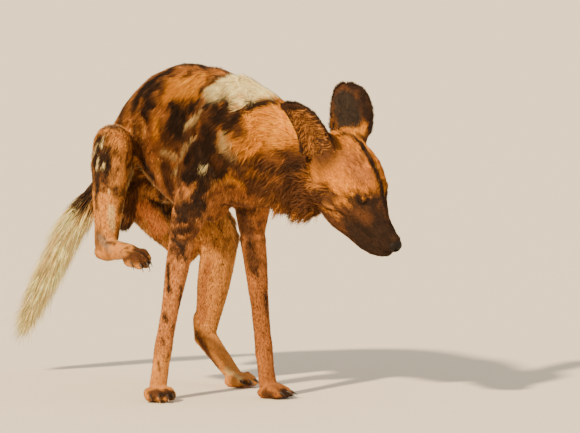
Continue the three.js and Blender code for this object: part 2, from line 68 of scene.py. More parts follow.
class Hue(Enum):
    """The colours that the coat is patched with."""

    TAN = (0.60, 0.240, 0.056)
    ORANGE = (0.80, 0.275, 0.022)
    BROWN = (0.100, 0.037, 0.013)
    RUST = (0.36, 0.125, 0.032)
    DARK = (0.030, 0.0150, 0.0088)
    SLATE = (0.034, 0.022, 0.015)
    WHITE = (0.98, 0.72, 0.33)
    STRAW = (1.0, 0.74, 0.33)
    CREAM = (0.68, 0.43, 0.17)
    PINK = (0.54, 0.205, 0.060)
    FLUSH = (0.98, 0.31, 0.085)
    GREY = (0.25, 0.150, 0.088)
    HOLLOW = (0.062, 0.027, 0.014)


@dataclass(frozen=True)
class Hair:
    """How the hair of one region grows: its sizes and the coat's depth in mm, its lift in radians."""

    length: float
    width: float
    lift: float
    depth: float


BODY_HAIR = Hair(length=17.0, width=0.85, lift=0.20, depth=2.6)
NECK_HAIR = Hair(length=18.0, width=0.85, lift=0.22, depth=2.8)
LEG_HAIR = Hair(length=8.0, width=0.62, lift=0.17, depth=1.2)
FOOT_HAIR = Hair(length=5.5, width=0.55, lift=0.17, depth=0.8)
FACE_HAIR = Hair(length=6.5, width=0.50, lift=0.17, depth=0.9)
SKULL_HAIR = Hair(length=10.0, width=0.62, lift=0.20, depth=1.3)
EAR_HAIR = Hair(length=6.0, width=0.50, lift=0.18, depth=0.2)
TAIL_HAIR = Hair(length=16.0, width=0.75, lift=0.20, depth=1.0)


@dataclass(frozen=True)
class Stroke:
    """A run of coat in one colour, drawn as the camera sees it.

    Its points are in mm, right of and above the fore paws. It covers its reach to each side of them, and
    its edge fades over what is soft.
    """

    hue: Hue
    reach: float
    points: Line
    soft: float


@dataclass(frozen=True)
class Fold:
    """A crease, or with a positive height a swell, along points like a stroke's, all in mm."""

    height: float
    reach: float
    points: Line


@dataclass(frozen=True)
class Bone:
    """A length of the body between two points in mm, with the hair that runs from the first to the second."""

    region: str
    hair: Hair
    hue: Hue
    start: np.ndarray
    end: np.ndarray
    lean: Triple = (0, 0, 0)

    @property
    def lie(self) -> np.ndarray:
        """The way that the hair lies: along the bone, turned by the lean."""
        return unit(unit(self.end - self.start) + np.array(self.lean, float))


def place(*values: float) -> np.ndarray:
    """A point of the body's layout in the model's frame, in mm.

    Args:
        values: the three coordinates.

    Returns:
        The point as an array.
    """
    return np.array(values, float) + LAYOUT_SHIFT


def unit(vectors: np.ndarray) -> np.ndarray:
    """Each row of an array at length one.

    Args:
        vectors: one vector or a column of them.

    Returns:
        The same shape, normalised.
    """
    return vectors / np.maximum(np.linalg.norm(vectors, axis=-1, keepdims=True), 1e-9)


def sizes(vectors: np.ndarray) -> np.ndarray:
    """The length of each row of an array."""
    return np.linalg.norm(vectors, axis=1)


HEAD_BASE = place(234, 118, 504)
HEAD_FORWARD = unit(np.array([0.59, 0.346, -0.73]))
HEAD_LEFT = unit(np.cross(np.array([0.666, 0.278, 0.69]), HEAD_FORWARD))
HEAD_UP = np.cross(HEAD_FORWARD, HEAD_LEFT)


class Ear(NamedTuple):
    """An ear's root in mm, the way to its tip and the way that its hollow faces."""

    root: np.ndarray
    reach: np.ndarray
    hollow: np.ndarray


EAR_LENGTH = 133.0
EARS = {
    "right": Ear(
        place(291, 76, 500), unit(np.array([-0.06, -0.64, 0.766])), unit(np.array([0.58, -0.623, -0.52]))
    ),
    "left": Ear(
        place(232, 184, 513), unit(np.array([-0.48, 0.18, 0.86])), unit(np.array([-0.73, 0.463, -0.484]))
    ),
}
TAIL_LINE = [
    place(*point)
    for point in (
        (-388, -6, 440), (-422, -14, 400), (-456, -30, 350), (-494, -48, 296),
        (-525, -64, 236), (-553, -80, 177), (-578, -94, 124),
    )
]
TAIL_CORE = (19.0, 15.0, 13.0, 13.0, 12.0, 10.0, 5.0)


def in_head(x: float, y: float, z: float) -> np.ndarray:
    """A point of the head's own frame in the model's frame, in mm.

    Args:
        x: towards the nose.
        y: towards the animal's left.
        z: towards the crown.

    Returns:
        The point as an array.
    """
    return HEAD_BASE + x * HEAD_FORWARD + y * HEAD_LEFT + z * HEAD_UP


BONES: tuple[Bone, ...] = (
    Bone("head", FACE_HAIR, Hue.BROWN, in_head(240, 0, -24), in_head(160, 0, -18)),
    Bone("head", FACE_HAIR, Hue.ORANGE, in_head(130, 0, -10), in_head(80, 0, -6)),
    Bone("head", SKULL_HAIR, Hue.ORANGE, in_head(70, 0, 0), in_head(0, 0, 0)),
    Bone("neck", NECK_HAIR, Hue.ORANGE, in_head(-10, 0, 0), place(150, 70, 490), (0, 0, -0.25)),
    Bone("neck", NECK_HAIR, Hue.ORANGE, place(150, 70, 490), place(60, 20, 510), (0, 0, -0.45)),
    Bone("trunk", BODY_HAIR, Hue.RUST, place(40, 0, 520), place(-120, 0, 520), (0, 0, -0.45)),
    Bone("trunk", BODY_HAIR, Hue.RUST, place(-120, 0, 520), place(-250, 0, 510), (0, 0, -0.35)),
    Bone("trunk", BODY_HAIR, Hue.TAN, place(-250, 0, 510), place(-395, -4, 410), (0, 0, -0.2)),
    Bone("trunk", BODY_HAIR, Hue.RUST, place(10, -52, 560), place(58, -56, 440), (-0.5, 0, -0.3)),
    Bone("trunk", BODY_HAIR, Hue.RUST, place(10, 52, 560), place(70, 58, 440), (-0.5, 0, -0.3)),
    Bone("legs", LEG_HAIR, Hue.PINK, place(58, -56, 440), place(-20, -62, 314), (-0.2, 0, -0.3)),
    Bone("legs", LEG_HAIR, Hue.PINK, place(-20, -62, 314), place(-34, -98, 98)),
    Bone("legs", FOOT_HAIR, Hue.TAN, place(-34, -98, 80), place(10, -120, 8)),
    Bone("legs", LEG_HAIR, Hue.RUST, place(70, 58, 440), place(22, 78, 322), (-0.2, 0, -0.3)),
    Bone("legs", LEG_HAIR, Hue.RUST, place(22, 78, 322), place(40, 92, 95)),
    Bone("legs", FOOT_HAIR, Hue.RUST, place(40, 92, 80), place(74, 120, 8)),
    Bone("haunch", BODY_HAIR, Hue.TAN, place(-308, -47, 452), place(-146, -149, 507), (-0.5, 0, -0.4)),
    Bone("haunch", LEG_HAIR, Hue.TAN, place(-146, -149, 490), place(-168, -152, 300)),
    Bone("haunch", FOOT_HAIR, Hue.TAN, place(-168, -152, 288), place(-20, -163, 280)),
    Bone("haunch", BODY_HAIR, Hue.TAN, place(-308, 47, 437), place(-190, 137, 308), (-0.4, 0, -0.5)),
    Bone("haunch", LEG_HAIR, Hue.TAN, place(-190, 137, 308), place(-252, 129, 100)),
    Bone("haunch", FOOT_HAIR, Hue.TAN, place(-252, 129, 80), place(-140, 155, 8)),
    Bone("tail", TAIL_HAIR, Hue.TAN, TAIL_LINE[0], TAIL_LINE[2]),
    Bone("tail", TAIL_HAIR, Hue.STRAW, TAIL_LINE[3], TAIL_LINE[6]),
    *(
        Bone("ears", EAR_HAIR, Hue.BROWN, root + 14 * reach, root + EAR_LENGTH * reach)
        for root, reach, _ in EARS.values()
    ),
)
FLESH = (
    "torso",
    "neck",
    *(
        f"{part}_{side}"
        for side in ("right", "left")
        for part in ("arm", "forearm", "forepaw", "thigh", "shin", "hindfoot", "hindpaw")
    ),
)


def run(hue: Hue, soft: float, *lines: tuple) -> list[Stroke]:
    """Strokes of one colour, laid one after another.

    Args:
        hue: their colour.
        soft: how far their edges fade, in mm.
        lines: for each stroke its reach in mm and then its points.

    Returns:
        The strokes.
    """
    return [Stroke(hue, reach, tuple(points), soft) for reach, *points in lines]


tan, orange, brown, rust, dark, slate, white, cream, pink, flush, grey = (
    partial(run, hue)
    for hue in (
        Hue.TAN, Hue.ORANGE, Hue.BROWN, Hue.RUST, Hue.DARK, Hue.SLATE,
        Hue.WHITE, Hue.CREAM, Hue.PINK, Hue.FLUSH, Hue.GREY,
    )
)
STROKES: tuple[Stroke, ...] = (
    # Ground tones of the flank, rump, chest and throat
    *rust(16, (44, (-104, 520), (-80, 440))),
    *brown(14, (18, (-112, 540), (-120, 490))),
    *tan(8, (15, (-144, 572), (-138, 544)), (12, (-80, 470), (-84, 448))),
    *brown(12, (17, (-66, 470), (-60, 420))),
    *brown(10, (13, (-138, 606), (-152, 574))),
    *tan(8, (9, (-110, 560), (-112, 530))),
    *orange(8, (10, (-84, 560), (-84, 530))),
    *rust(12, (24, (74, 404), (118, 418))),
    *pink(12, (19, (14, 388), (58, 404))),
    *brown(12, (26, (125, 478), (170, 482), (205, 472))),
    *dark(12, (12, (160, 470), (196, 462)), (12, (176, 430), (226, 408))),
    *brown(12, (24, (110, 432), (165, 428), (205, 424)), (26, (190, 430), (222, 404), (250, 388))),
    *brown(8, (16, (180, 398), (218, 384), (248, 366))),
    *orange(
        10,
        (34, (100, 550), (135, 542)), (26, (92, 512), (150, 522)), (26, (160, 560), (176, 530)),
    ),
    # Back
    *dark(3, (8, (-44, 662), (-13, 668), (20, 662), (52, 651))),
    *dark(
        4,
        (14, (-54, 656), (-84, 640), (-110, 616), (-124, 592)), (9, (-96, 612), (-90, 590)),
        (12, (-75, 632), (-98, 612), (-98, 588)),
    ),
    *orange(8, (20, (-46, 632), (2, 634)), (16, (-58, 612), (0, 610))),
    *dark(4, (7, (6, 618), (24, 637), (58, 643))),
    *tan(4, (3, (12, 630), (40, 645), (66, 648))),
    # White saddle with its dark lower edge
    *white(
        4,
        (15, (26, 616), (54, 628), (84, 636)), (16, (84, 640), (130, 632), (152, 604)),
        (13, (30, 606), (62, 610), (110, 610), (142, 604)), (13, (50, 624), (90, 618), (130, 616)),
        (9, (70, 598), (92, 592), (120, 602)), (7, (68, 594), (80, 574)),
    ),
    *dark(4, (9, (56, 602), (68, 590)), (9, (80, 572), (106, 584), (132, 588), (160, 588))),
    # Side
    *dark(
        4,
        (18, (-48, 588), (-12, 594)), (18, (-46, 568), (-26, 562)), (16, (-54, 546), (-30, 530)),
        (9, (-10, 588), (4, 600)), (9, (-105, 580), (-104, 562)),
    ),
    *brown(8, (12, (-66, 522), (-40, 512))),
    *brown(6, (14, (14, 566), (34, 552))),
    *dark(
        4,
        (17, (26, 588), (52, 574)), (17, (48, 566), (66, 552)), (14, (12, 540), (30, 528)),
        (20, (0, 514), (30, 506), (44, 500)), (24, (-16, 484), (12, 474), (44, 470)),
        (16, (68, 478), (90, 464)), (15, (-28, 452), (2, 446), (46, 448)),
    ),
    *brown(6, (10, (30, 478), (48, 474))),
    *brown(8, (16, (74, 560), (88, 540))),
    *dark(6, (9, (60, 544), (78, 566))),
    *brown(10, (18, (-112, 436), (-92, 396))),
    *dark(
        4,
        (15, (-112, 474), (-96, 448)), (11, (-118, 438), (-94, 402), (-62, 374)),
        (10, (-80, 410), (-62, 392)), (3, (-120, 598), (-130, 546), (-129, 490)),
        (4, (-50, 440), (-51, 400), (-46, 368)),
    ),
    # Light marks on the side and shoulder
    *cream(
        3,
        (6, (8, 584), (-8, 566), (-24, 549)), (5, (-6, 528), (-28, 508), (-38, 476), (-50, 450)),
    ),
    *cream(4, (6, (-70, 498), (-46, 488))),
    *tan(4, (12, (50, 526), (54, 506))),
    *cream(4, (8, (50, 528), (56, 504), (72, 488))),
    *white(2, (6, (5, 466), (11, 464))),
    *tan(2, (8, (-23, 412), (-2, 429))),
    *tan(3, (7, (-44, 400), (-29, 388))),
    *dark(4, (14, (12, 430), (-4, 404), (6, 380)), (11, (-32, 378), (-4, 368))),
    *tan(4, (9, (30, 430), (56, 438))),
    *orange(4, (7, (52, 446), (88, 432))),
    *dark(2, (3, (49, 430), (56, 432))),
    *brown(4, (10, (66, 394), (86, 388)), (6, (28, 408), (40, 412))),
    # painted shadow: a dark line under the chest where the far fore leg meets it
    *dark(6, (7, (74, 374), (112, 376))),
    # Throat locks
    *dark(5, (6, (130, 470), (150, 456), (180, 452)), (6, (205, 462), (192, 442), (196, 424))),
    *rust(
        5,
        (6, (140, 486), (172, 474)), (6, (150, 442), (172, 440)), (5, (210, 440), (226, 420)),
    ),
    *dark(5, (6, (222, 436), (236, 410))),
    # Fore leg nearest the camera
    *brown(16, (26, (-34, 376), (-38, 318))),
    *dark(4, (9, (-30, 386), (-8, 384))),
    *dark(
        3,
        (4, (-18, 366), (-16, 340), (-26, 322)), (4, (-56, 344), (-50, 324)), (4, (-52, 300), (-42, 280)),
    ),
    *dark(
        4,
        (7, (-57, 356), (-27, 359)), (6, (-47, 336), (-19, 339)), (6, (-55, 318), (-37, 303)),
        (5, (-27, 312), (-38, 290)),
    ),
    *pink(3, (3, (-53, 344), (-27, 348)), (3, (-43, 322), (-23, 326))),
    *dark(
        3,
        (5, (-64, 268), (-62, 214)), (5, (-38, 222), (-42, 182)), (5, (-70, 168), (-67, 156)),
        (3, (-34, 290), (-28, 276)), (3, (-53, 146), (-56, 136)), (3, (-77, 122), (-74, 108)),
        (3, (-63, 89), (-67, 73)), (3, (-84, 73), (-81, 56)),
    ),
    *brown(5, (14, (-92, 8), (-62, 10))),
    *dark(5, (8, (-74, 6), (-54, 6))),
    *dark(4, (8, (-48, 376), (-30, 372))),
    *brown(6, (9, (-14, 352), (-8, 330))),
    *brown(5, (7, (-56, 300), (-46, 286))),
    # Fore leg on the far side
    *brown(8, (15, (90, 356), (107, 263))),
    *dark(3, (4, (131, 209), (133, 172)), (3, (113, 263), (116, 243))),
    *brown(5, (12, (133, 6), (173, 6))),
    *dark(5, (8, (167, 10), (187, 4))),
    # Raised leg
    *brown(8, (24, (-204, 506), (-198, 470), (-196, 430))),
    *dark(6, (18, (-200, 516), (-206, 466))),
    *dark(7, (14, (-186, 496), (-180, 452), (-170, 428)), (9, (-206, 440), (-206, 404))),
    *dark(4, (6, (-204, 528), (-222, 490), (-228, 440), (-222, 400), (-206, 368))),
    *grey(6, (12, (-178, 548), (-164, 544))),
    *tan(8, (13, (-160, 530), (-152, 506))),
    *tan(7, (13, (-158, 506), (-160, 470), (-168, 430))),
    *brown(4, (4, (-168, 500), (-160, 478)), (4, (-164, 462), (-172, 440))),
    *dark(5, (7, (-168, 420), (-174, 402))),
    *white(
        2,
        (3, (-205, 508), (-213, 488)), (3, (-192, 524), (-197, 502)), (3, (-204, 478), (-207, 458)),
        (2.5, (-222, 436), (-218, 410)), (2.5, (-192, 470), (-196, 458)), (2.5, (-182, 414), (-184, 402)),
    ),
    *tan(8, (22, (-186, 392), (-182, 330))),
    *cream(6, (6, (-178, 380), (-176, 340))),
    *grey(6, (10, (-200, 322), (-180, 300))),
    *tan(6, (11, (-176, 306), (-148, 296))),
    *brown(4, (4, (-186, 312), (-170, 308)), (3.5, (-160, 290), (-146, 300))),
    *brown(5, (9, (-150, 278), (-138, 284))),
    *brown(6, (16, (-128, 286), (-106, 272))),
    *dark(4, (8, (-126, 296), (-112, 286)), (7, (-108, 268), (-100, 262))),
    # Groin and inner thigh
    # brown on the inner thigh: partly painted shade, partly the darker scrotum
    *brown(8, (24, (-136, 430), (-136, 372))),
    *dark(5, (11, (-158, 350), (-146, 344))),
    *flush(8, (24, (-110, 382), (-84, 350))),
    *brown(8, (15, (-107, 322), (-67, 300))),
    # Hind leg on the far side
    *rust(8, (14, (13, 263), (0, 163))),
    *brown(7, (10, (-7, 129), (33, 63))),
    *cream(5, (6, (53, 56), (80, 39))),
    *dark(5, (8, (92, 30), (110, 24))),
    # Muzzle, cheek and eye
    *brown(14, (32, (292, 366), (326, 358), (356, 378))),
    *brown(9, (13, (240, 394), (262, 380), (292, 362))),
    *brown(8, (16, (268, 346), (296, 326), (330, 300))),
    *dark(7, (18, (322, 308), (352, 290), (382, 288))),
    *dark(13, (16, (316, 380), (344, 364))),
    *dark(14, (28, (326, 336), (358, 326), (382, 304))),
    *dark(12, (15, (360, 366), (370, 350))),
    *dark(8, (12, (292, 348), (316, 318), (344, 292))),
    *brown(8, (10, (318, 372), (334, 356))),
    *brown(6, (7, (316, 404), (344, 402))),
    *dark(5, (7, (302, 396), (322, 391))),
    *dark(3, (10, (318, 395), (349, 389))),
    *dark(4, (6, (342, 392), (356, 397))),
    *rust(15, (26, (304, 474), (330, 446))),
    *dark(4, (5, (276, 532), (292, 521), (309, 519))),
    *dark(
        3,
        (8.5, (309, 519), (323, 508), (334, 490), (347, 464)),
        (7.5, (347, 464), (357, 440), (366, 408), (369, 384)),
    ),
    *tan(6, (6, (230, 428), (246, 418))),
    *brown(6, (8, (252, 412), (270, 402))),
    *dark(4, (5, (214, 460), (236, 452))),
    *brown(7, (11, (235, 376), (262, 356), (284, 342))),
    *tan(5, (6, (258, 384), (276, 366))),
    *brown(9, (12, (234, 508), (254, 492))),
    *brown(7, (9, (216, 474), (240, 462))),
    # Ear with its back to the camera, and the rim of the nearer one
    *brown(8, (30, (300, 600), (326, 586))),
    *dark(8, (12, (300, 628), (330, 616))),
    *dark(9, (12, (326, 604), (334, 560))),
    *orange(8, (11, (300, 532), (330, 540))),
    *slate(8, (26, (286, 596), (292, 564)), (15, (306, 586), (310, 556))),
    *dark(3, (4, (336, 618), (348, 600), (344, 570), (350, 534))),
    *brown(4, (5, (256, 596), (252, 566), (260, 544))),
    *dark(3, (5, (163, 598), (190, 580), (222, 560), (248, 540))),
)

FOLDS: tuple[Fold, ...] = (
    Fold(-4.0, 6.0, ((-5, 535), (-28, 494), (-52, 452), (-55, 416), (-47, 366))),
    Fold(-3.0, 4.5, ((-96, 612), (-127, 554), (-136, 524))),
    Fold(-2.0, 7.0, ((-146, 468), (-110, 406), (-74, 344))),
    Fold(3.0, 22.0, ((20, 570), (10, 520))),
    Fold(2.5, 20.0, ((30, 470), (0, 440))),
    Fold(3.0, 26.0, ((-100, 560), (-90, 480))),
    Fold(-2.0, 5.0, ((70, 440), (110, 470), (130, 510))),
    Fold(-2.0, 6.0, ((150, 590), (176, 560), (182, 530))),
    Fold(-1.6, 4.0, ((-160, 520), (-176, 480), (-180, 430))),
)


@dataclass
class Viewpoint:
    """The camera at the photograph's viewing angle."""

    distance: float = 16.0
    elevation: float = math.radians(6.5)
    frame_width: float = 1.16
    right: Triple = (0.512, 0.859, 0.0)
    away: Triple = (-0.859, 0.512, 0.0)
    ground: tuple[float, float] = (28.0, 60.0)
    aim_right: float = 180.0
    aim_up: float = 363.0
    sensor: float = 36.0

    def __post_init__(self) -> None:
        """Works out the origin and the directions of the picture plane, in mm."""
        right = unit(np.array(self.right))
        away = unit(np.array(self.away))
        self.origin = place(0, 0, 0) - right * self.ground[0] - away * self.ground[1]
        self.across = right
        self.look = away * math.cos(self.elevation) - UP * math.sin(self.elevation)
        self.above = away * math.sin(self.elevation) + UP * math.cos(self.elevation)
        self.eye = self.origin - self.look * self.distance / MM

    def on_plane(self, across: float, above: float) -> np.ndarray:
        """The point of the picture plane at a place in the picture.

        Args:
            across: mm to the right of the fore paws.
            above: mm above them.

        Returns:
            The point in the model's frame, in mm.
        """
        return self.origin + self.across * across + self.above * above

    def build(self) -> Object:
        """Creates the camera and makes it the scene's own.

        Returns:
            The camera object.
        """
        camera = bpy.data.cameras.new("camera")
        camera.sensor_width = self.sensor
        camera.lens = self.sensor * self.distance / self.frame_width
        camera.clip_end = 100.0
        holder = linked("camera", camera)
        holder.location = self.eye * MM
        target = Vector(self.on_plane(self.aim_right, self.aim_up) * MM)
        holder.rotation_euler = (target - holder.location).to_track_quat("-Z", "Y").to_euler()
        bpy.context.scene.camera = holder
        return holder


@dataclass(frozen=True)
class Sun:
    """A distant soft light: the direction it comes from, its strength and its angular size in degrees."""

    name: str
    towards: Triple
    strength: float
    colour: Triple
    spread: float

    def build(self) -> None:
        """Adds the light."""
        light = bpy.data.lights.new(self.name, "SUN")
        light.energy = self.strength
        light.color = self.colour
        light.angle = math.radians(self.spread)
        linked(self.name, light).rotation_euler = Vector(self.towards).to_track_quat("Z", "Y").to_euler()


@dataclass
class Studio:
    """The plain floor and the soft lights."""

    floor_colour: Triple = (0.80, 0.72, 0.60)
    floor_size: float = 14.0
    world_colour: Triple = (1.0, 0.90, 0.78)
    world_strength: float = 0.80
    suns: tuple[Sun, ...] = (
        Sun("key", (0.62, -1.35, 1.05), strength=8.4, colour=(1.0, 0.79, 0.50), spread=3.0),
        Sun("fill", (1.0, 0.9, 0.8), strength=0.4, colour=(0.9, 0.95, 1.0), spread=40.0),
    )

    def build(self) -> None:
        """Makes the floor, the world and the lights."""
        shape = bmesh.new()
        bmesh.ops.create_grid(shape, x_segments=1, y_segments=1, size=self.floor_size)
        floor = finished("floor", shape)
        floor.location = (0, 0, -0.0005)
        floor.data.materials.append(Finish("floor_paint", roughness=0.9, colour=self.floor_colour).build())
        world = bpy.data.worlds.new("studio")
        world.use_nodes = True
        sky = world.node_tree.nodes["Background"]
        sky.inputs["Color"].default_value = (*self.world_colour, 1)
        sky.inputs["Strength"].default_value = self.world_strength
        bpy.context.scene.world = world
        for sun in self.suns:
            sun.build()


@dataclass(frozen=True)
class Finish:
    """A surface: one colour or the coat's own colours, with fine bumps."""

    name: str
    roughness: float = 0.6
    colour: Triple | None = None
    specular: float = 0.3
    bump: float = 0.0
    bump_scale: float = 900.0
    cells: bool = False
    wet: float = 0.0

    def build(self) -> Material:
        """Creates the material.

        Returns:
            The material.
        """
        material = bpy.data.materials.new(self.name)
        material.use_nodes = True
        tree = material.node_tree
        surface = tree.nodes["Principled BSDF"]
        surface.inputs["Roughness"].default_value = self.roughness
        surface.inputs["Specular IOR Level"].default_value = self.specular
        surface.inputs["Coat Weight"].default_value = self.wet
        surface.inputs["Coat Roughness"].default_value = 0.08
        if self.colour is None:
            reader = tree.nodes.new("ShaderNodeAttribute")
            reader.attribute_name = "coat"
            tree.links.new(reader.outputs["Color"], surface.inputs["Base Color"])
        else:
            surface.inputs["Base Color"].default_value = (*self.colour, 1)
        if self.bump:
            self.roughen(tree, surface)
        return material

    def roughen(self, tree: bpy.types.NodeTree, surface: bpy.types.Node) -> None:
        """Adds the fine bumps.

        Args:
            tree: the material's nodes.
            surface: the shader that takes the normal.
        """
        where = tree.nodes.new("ShaderNodeTexCoord")
        grain = tree.nodes.new("ShaderNodeTexVoronoi" if self.cells else "ShaderNodeTexNoise")
        grain.inputs["Scale"].default_value = self.bump_scale
        tree.links.new(where.outputs["Object"], grain.inputs["Vector"])
        bump = tree.nodes.new("ShaderNodeBump")
        bump.inputs["Strength"].default_value = self.bump
        bump.inputs["Distance"].default_value = 0.0006
        tree.links.new(grain.outputs[0], bump.inputs["Height"])
        tree.links.new(bump.outputs["Normal"], surface.inputs["Normal"])


def linked(name: str, data: bpy.types.ID) -> Object:
    """A new object of the scene.

    Args:
        name: its name.
        data: the mesh, light or camera that it holds.

    Returns:
        The object.
    """
    made = bpy.data.objects.new(name, data)
    bpy.context.scene.collection.objects.link(made)
    return made


def finished(name: str, shape: bmesh.types.BMesh) -> Object:
    """Turns a worked shape into an object of the scene.

    Args:
        name: the object's name.
        shape: the shape, which is freed.

    Returns:
        The object.
    """
    mesh = bpy.data.meshes.new(name)
    shape.to_mesh(mesh)
    shape.free()
    return linked(name, mesh)


def wrapped(holder: Object, voxel: float) -> Mesh:
    """Wraps an object in one even surface.

    Args:
        holder: the object, which is removed.
        voxel: the size of the surface's faces in metres.

    Returns:
        The wrapped mesh.
    """
    wrap = holder.modifiers.new("wrap", "REMESH")
    wrap.mode = "VOXEL"
    wrap.voxel_size = voxel
    mesh = bpy.data.meshes.new_from_object(holder.evaluated_get(bpy.context.evaluated_depsgraph_get()))
    old = holder.data
    bpy.data.objects.remove(holder)
    bpy.data.meshes.remove(old)
    return mesh


def merge_into(whole: bmesh.types.BMesh, part: bmesh.types.BMesh) -> None:
    """Adds one worked shape to another and frees it.

    Args:
        whole: the shape that grows.
        part: the shape that is added.
    """
    copy = bpy.data.meshes.new("part")
    part.to_mesh(copy)
    part.free()
    whole.from_mesh(copy)
    bpy.data.meshes.remove(copy)


def read(items: bpy.types.bpy_prop_collection, key: str, width: int, kind: type = np.float32) -> np.ndarray:
    """One property of a mesh's vertices, edges, triangles or corners.

    Args:
        items: what is read.
        key: the property.
        width: how many numbers it has.
        kind: their type.

    Returns:
        The numbers, one row for each item.
    """
    flat = np.empty(len(items) * width, kind)
    items.foreach_get(key, flat)
    return flat.reshape(-1, width)


def read_points(mesh: Mesh) -> np.ndarray:
    """The places of a mesh's vertices in mm, one row each."""
    return read(mesh.vertices, "co", 3).astype(float) / MM


def write_points(mesh: Mesh, points: np.ndarray) -> None:
    """Moves a mesh's vertices to new places in mm, one row each."""
    mesh.vertices.foreach_set("co", (points * MM).astype(np.float32).ravel())
    mesh.update()


def read_normals(mesh: Mesh) -> np.ndarray:
    """The outward normal at each vertex of a mesh, one row each."""
    return read(mesh.vertex_normals, "vector", 3).astype(float)


def read_edges(mesh: Mesh) -> np.ndarray:
    """The two vertex numbers of each edge, one row each."""
    return read(mesh.edges, "vertices", 2, np.int32)


def relax(points: np.ndarray, edges: np.ndarray, rounds: int, share: np.ndarray | None = None,
          back: float = -0.57) -> np.ndarray:
    """Evens out a surface, by default without shrinking it.

    Args:
        points: the vertices' places.
        edges: the edges between them.
        rounds: how many times the surface is evened.
        share: how much of the movement each vertex takes, or None for all of it.
        back: how far each second step goes back, which keeps the broad shape.

    Returns:
        The new places.
    """
    part = 1.0 if share is None else share[:, None]
    count = len(points)
    ends = np.concatenate([edges[:, 0], edges[:, 1]])
    others = np.concatenate([edges[:, 1], edges[:, 0]])
    degree = np.maximum(np.bincount(ends, minlength=count), 1)[:, None]
    for step in range(rounds * 2):
        factor = 0.55 if step % 2 == 0 else back
        mean = np.stack(
            [np.bincount(ends, weights=points[others, axis], minlength=count) for axis in range(3)], axis=1
        ) / degree
        points = points + factor * part * (mean - points)
    return points


def noise(points: np.ndarray, scale: float, salt: int) -> np.ndarray:
    """Smooth random values between -1 and 1 over space.

    Args:
        points: the places in mm, one row each.
        scale: the size of a lump in mm.
        salt: a whole number that sets one field of values apart from another.

    Returns:
        One value for each place.
    """
    cell = points / scale + 500.0
    low = np.floor(cell).astype(np.int64)
    part = cell - low
    part = part * part * (3 - 2 * part)
    total = np.zeros(len(points))
    for corner in range(8):
        step = np.array([corner & 1, corner >> 1 & 1, corner >> 2 & 1])
        spot = low + step
        mixed = np.bitwise_xor.reduce(spot * PRIMES, axis=1) ^ salt * 2654435
        mixed = (mixed ^ (mixed >> 13)) * 1274126177 & 0x7FFFFFFF
        mixed = mixed ^ (mixed >> 15)
        value = (mixed & 0xFFFF) / 32767.5 - 1
        total += value * np.prod(np.where(step == 1, part, 1 - part), axis=1)
    return total


def dot(first: np.ndarray, second: np.ndarray) -> np.ndarray:
    """The product of each row of one array with the same row of another."""
    return np.einsum("ij,ij->i", first, second)


def blend(colour: np.ndarray, share: np.ndarray, target: Triple) -> np.ndarray:
    """Each colour moved towards one other by its own share."""
    return colour + share[:, None] * (np.array(target) - colour)


def swirl(points: np.ndarray, scale: float, salt: int) -> np.ndarray:
    """Smooth random directions over space, from three fields of noise."""
    return np.stack([noise(points, scale, salt + axis) for axis in range(3)], axis=1)


def smooth_step(values: np.ndarray) -> np.ndarray:
    """Values between 0 and 1 eased at both ends."""
    inside = np.clip(values, 0, 1)
    return inside * inside * (3 - 2 * inside)


def line_distance(points: np.ndarray, start: np.ndarray, end: np.ndarray) -> np.ndarray:
    """How far each place is from a straight line between two points.

    Args:
        points: the places.
        start: one end of the line.
        end: its other end.

    Returns:
        The distances in mm.
    """
    way = end - start
    along = np.clip((points - start) @ way / max(float(way @ way), 1e-9), 0, 1)
    return sizes(points - start - along[:, None] * way)


class Body:
    """What the bones say of any place on the body: the lie, size and ground colour of its hair."""

    NEAR = 4.0  # mm within which a bone's weight levels off
    FALL = 4  # the power by which it falls beyond them

    def __init__(self, points: np.ndarray) -> None:
        """Weighs the bones at some places.

        Args:
            points: the places in mm, one row each.
        """
        far = np.stack([line_distance(points, b.start, b.end) for b in BONES], axis=1)
        weight = 1.0 / (far + self.NEAR) ** self.FALL
        self.nearest = np.argmax(weight, axis=1)
        self.weight = weight / weight.sum(axis=1, keepdims=True)

    def of(self, value: Callable[[Bone], object]) -> np.ndarray:
        """A blended value of the bones at each place.

        Args:
            value: what is read from a bone, a number or several.

        Returns:
            The value at each place.
        """
        return self.weight @ np.array([value(b) for b in BONES], float)

    def within(self, *regions: str) -> np.ndarray:
        """True at the places whose nearest bone is of one of the regions."""
        return np.isin(self.nearest, [i for i, b in enumerate(BONES) if b.region in regions])


def casts(points: Line, viewpoint: Viewpoint, tree: BVHTree) -> list[np.ndarray]:
    """Where points drawn in the picture plane fall on the skin.

    Args:
        points: the drawn points.
        viewpoint: the camera they are drawn from.
        tree: the skin.

    Returns:
        The places on the skin in mm, for a point that misses it the nearest one.
    """
    found = []
    for across, above in points:
        target = viewpoint.on_plane(across, above)
        way = unit(target - viewpoint.eye)
        hit, _, _, _ = tree.ray_cast(Vector(viewpoint.eye * MM), Vector(way))
        if hit is None:
            probes = [target + way * step for step in PROBES]
            nearest = [tree.find_nearest(Vector(probe * MM)) for probe in probes]
            hit = min(nearest, key=lambda one: one[3])[0]
        found.append(np.array(hit) / MM)
    return found


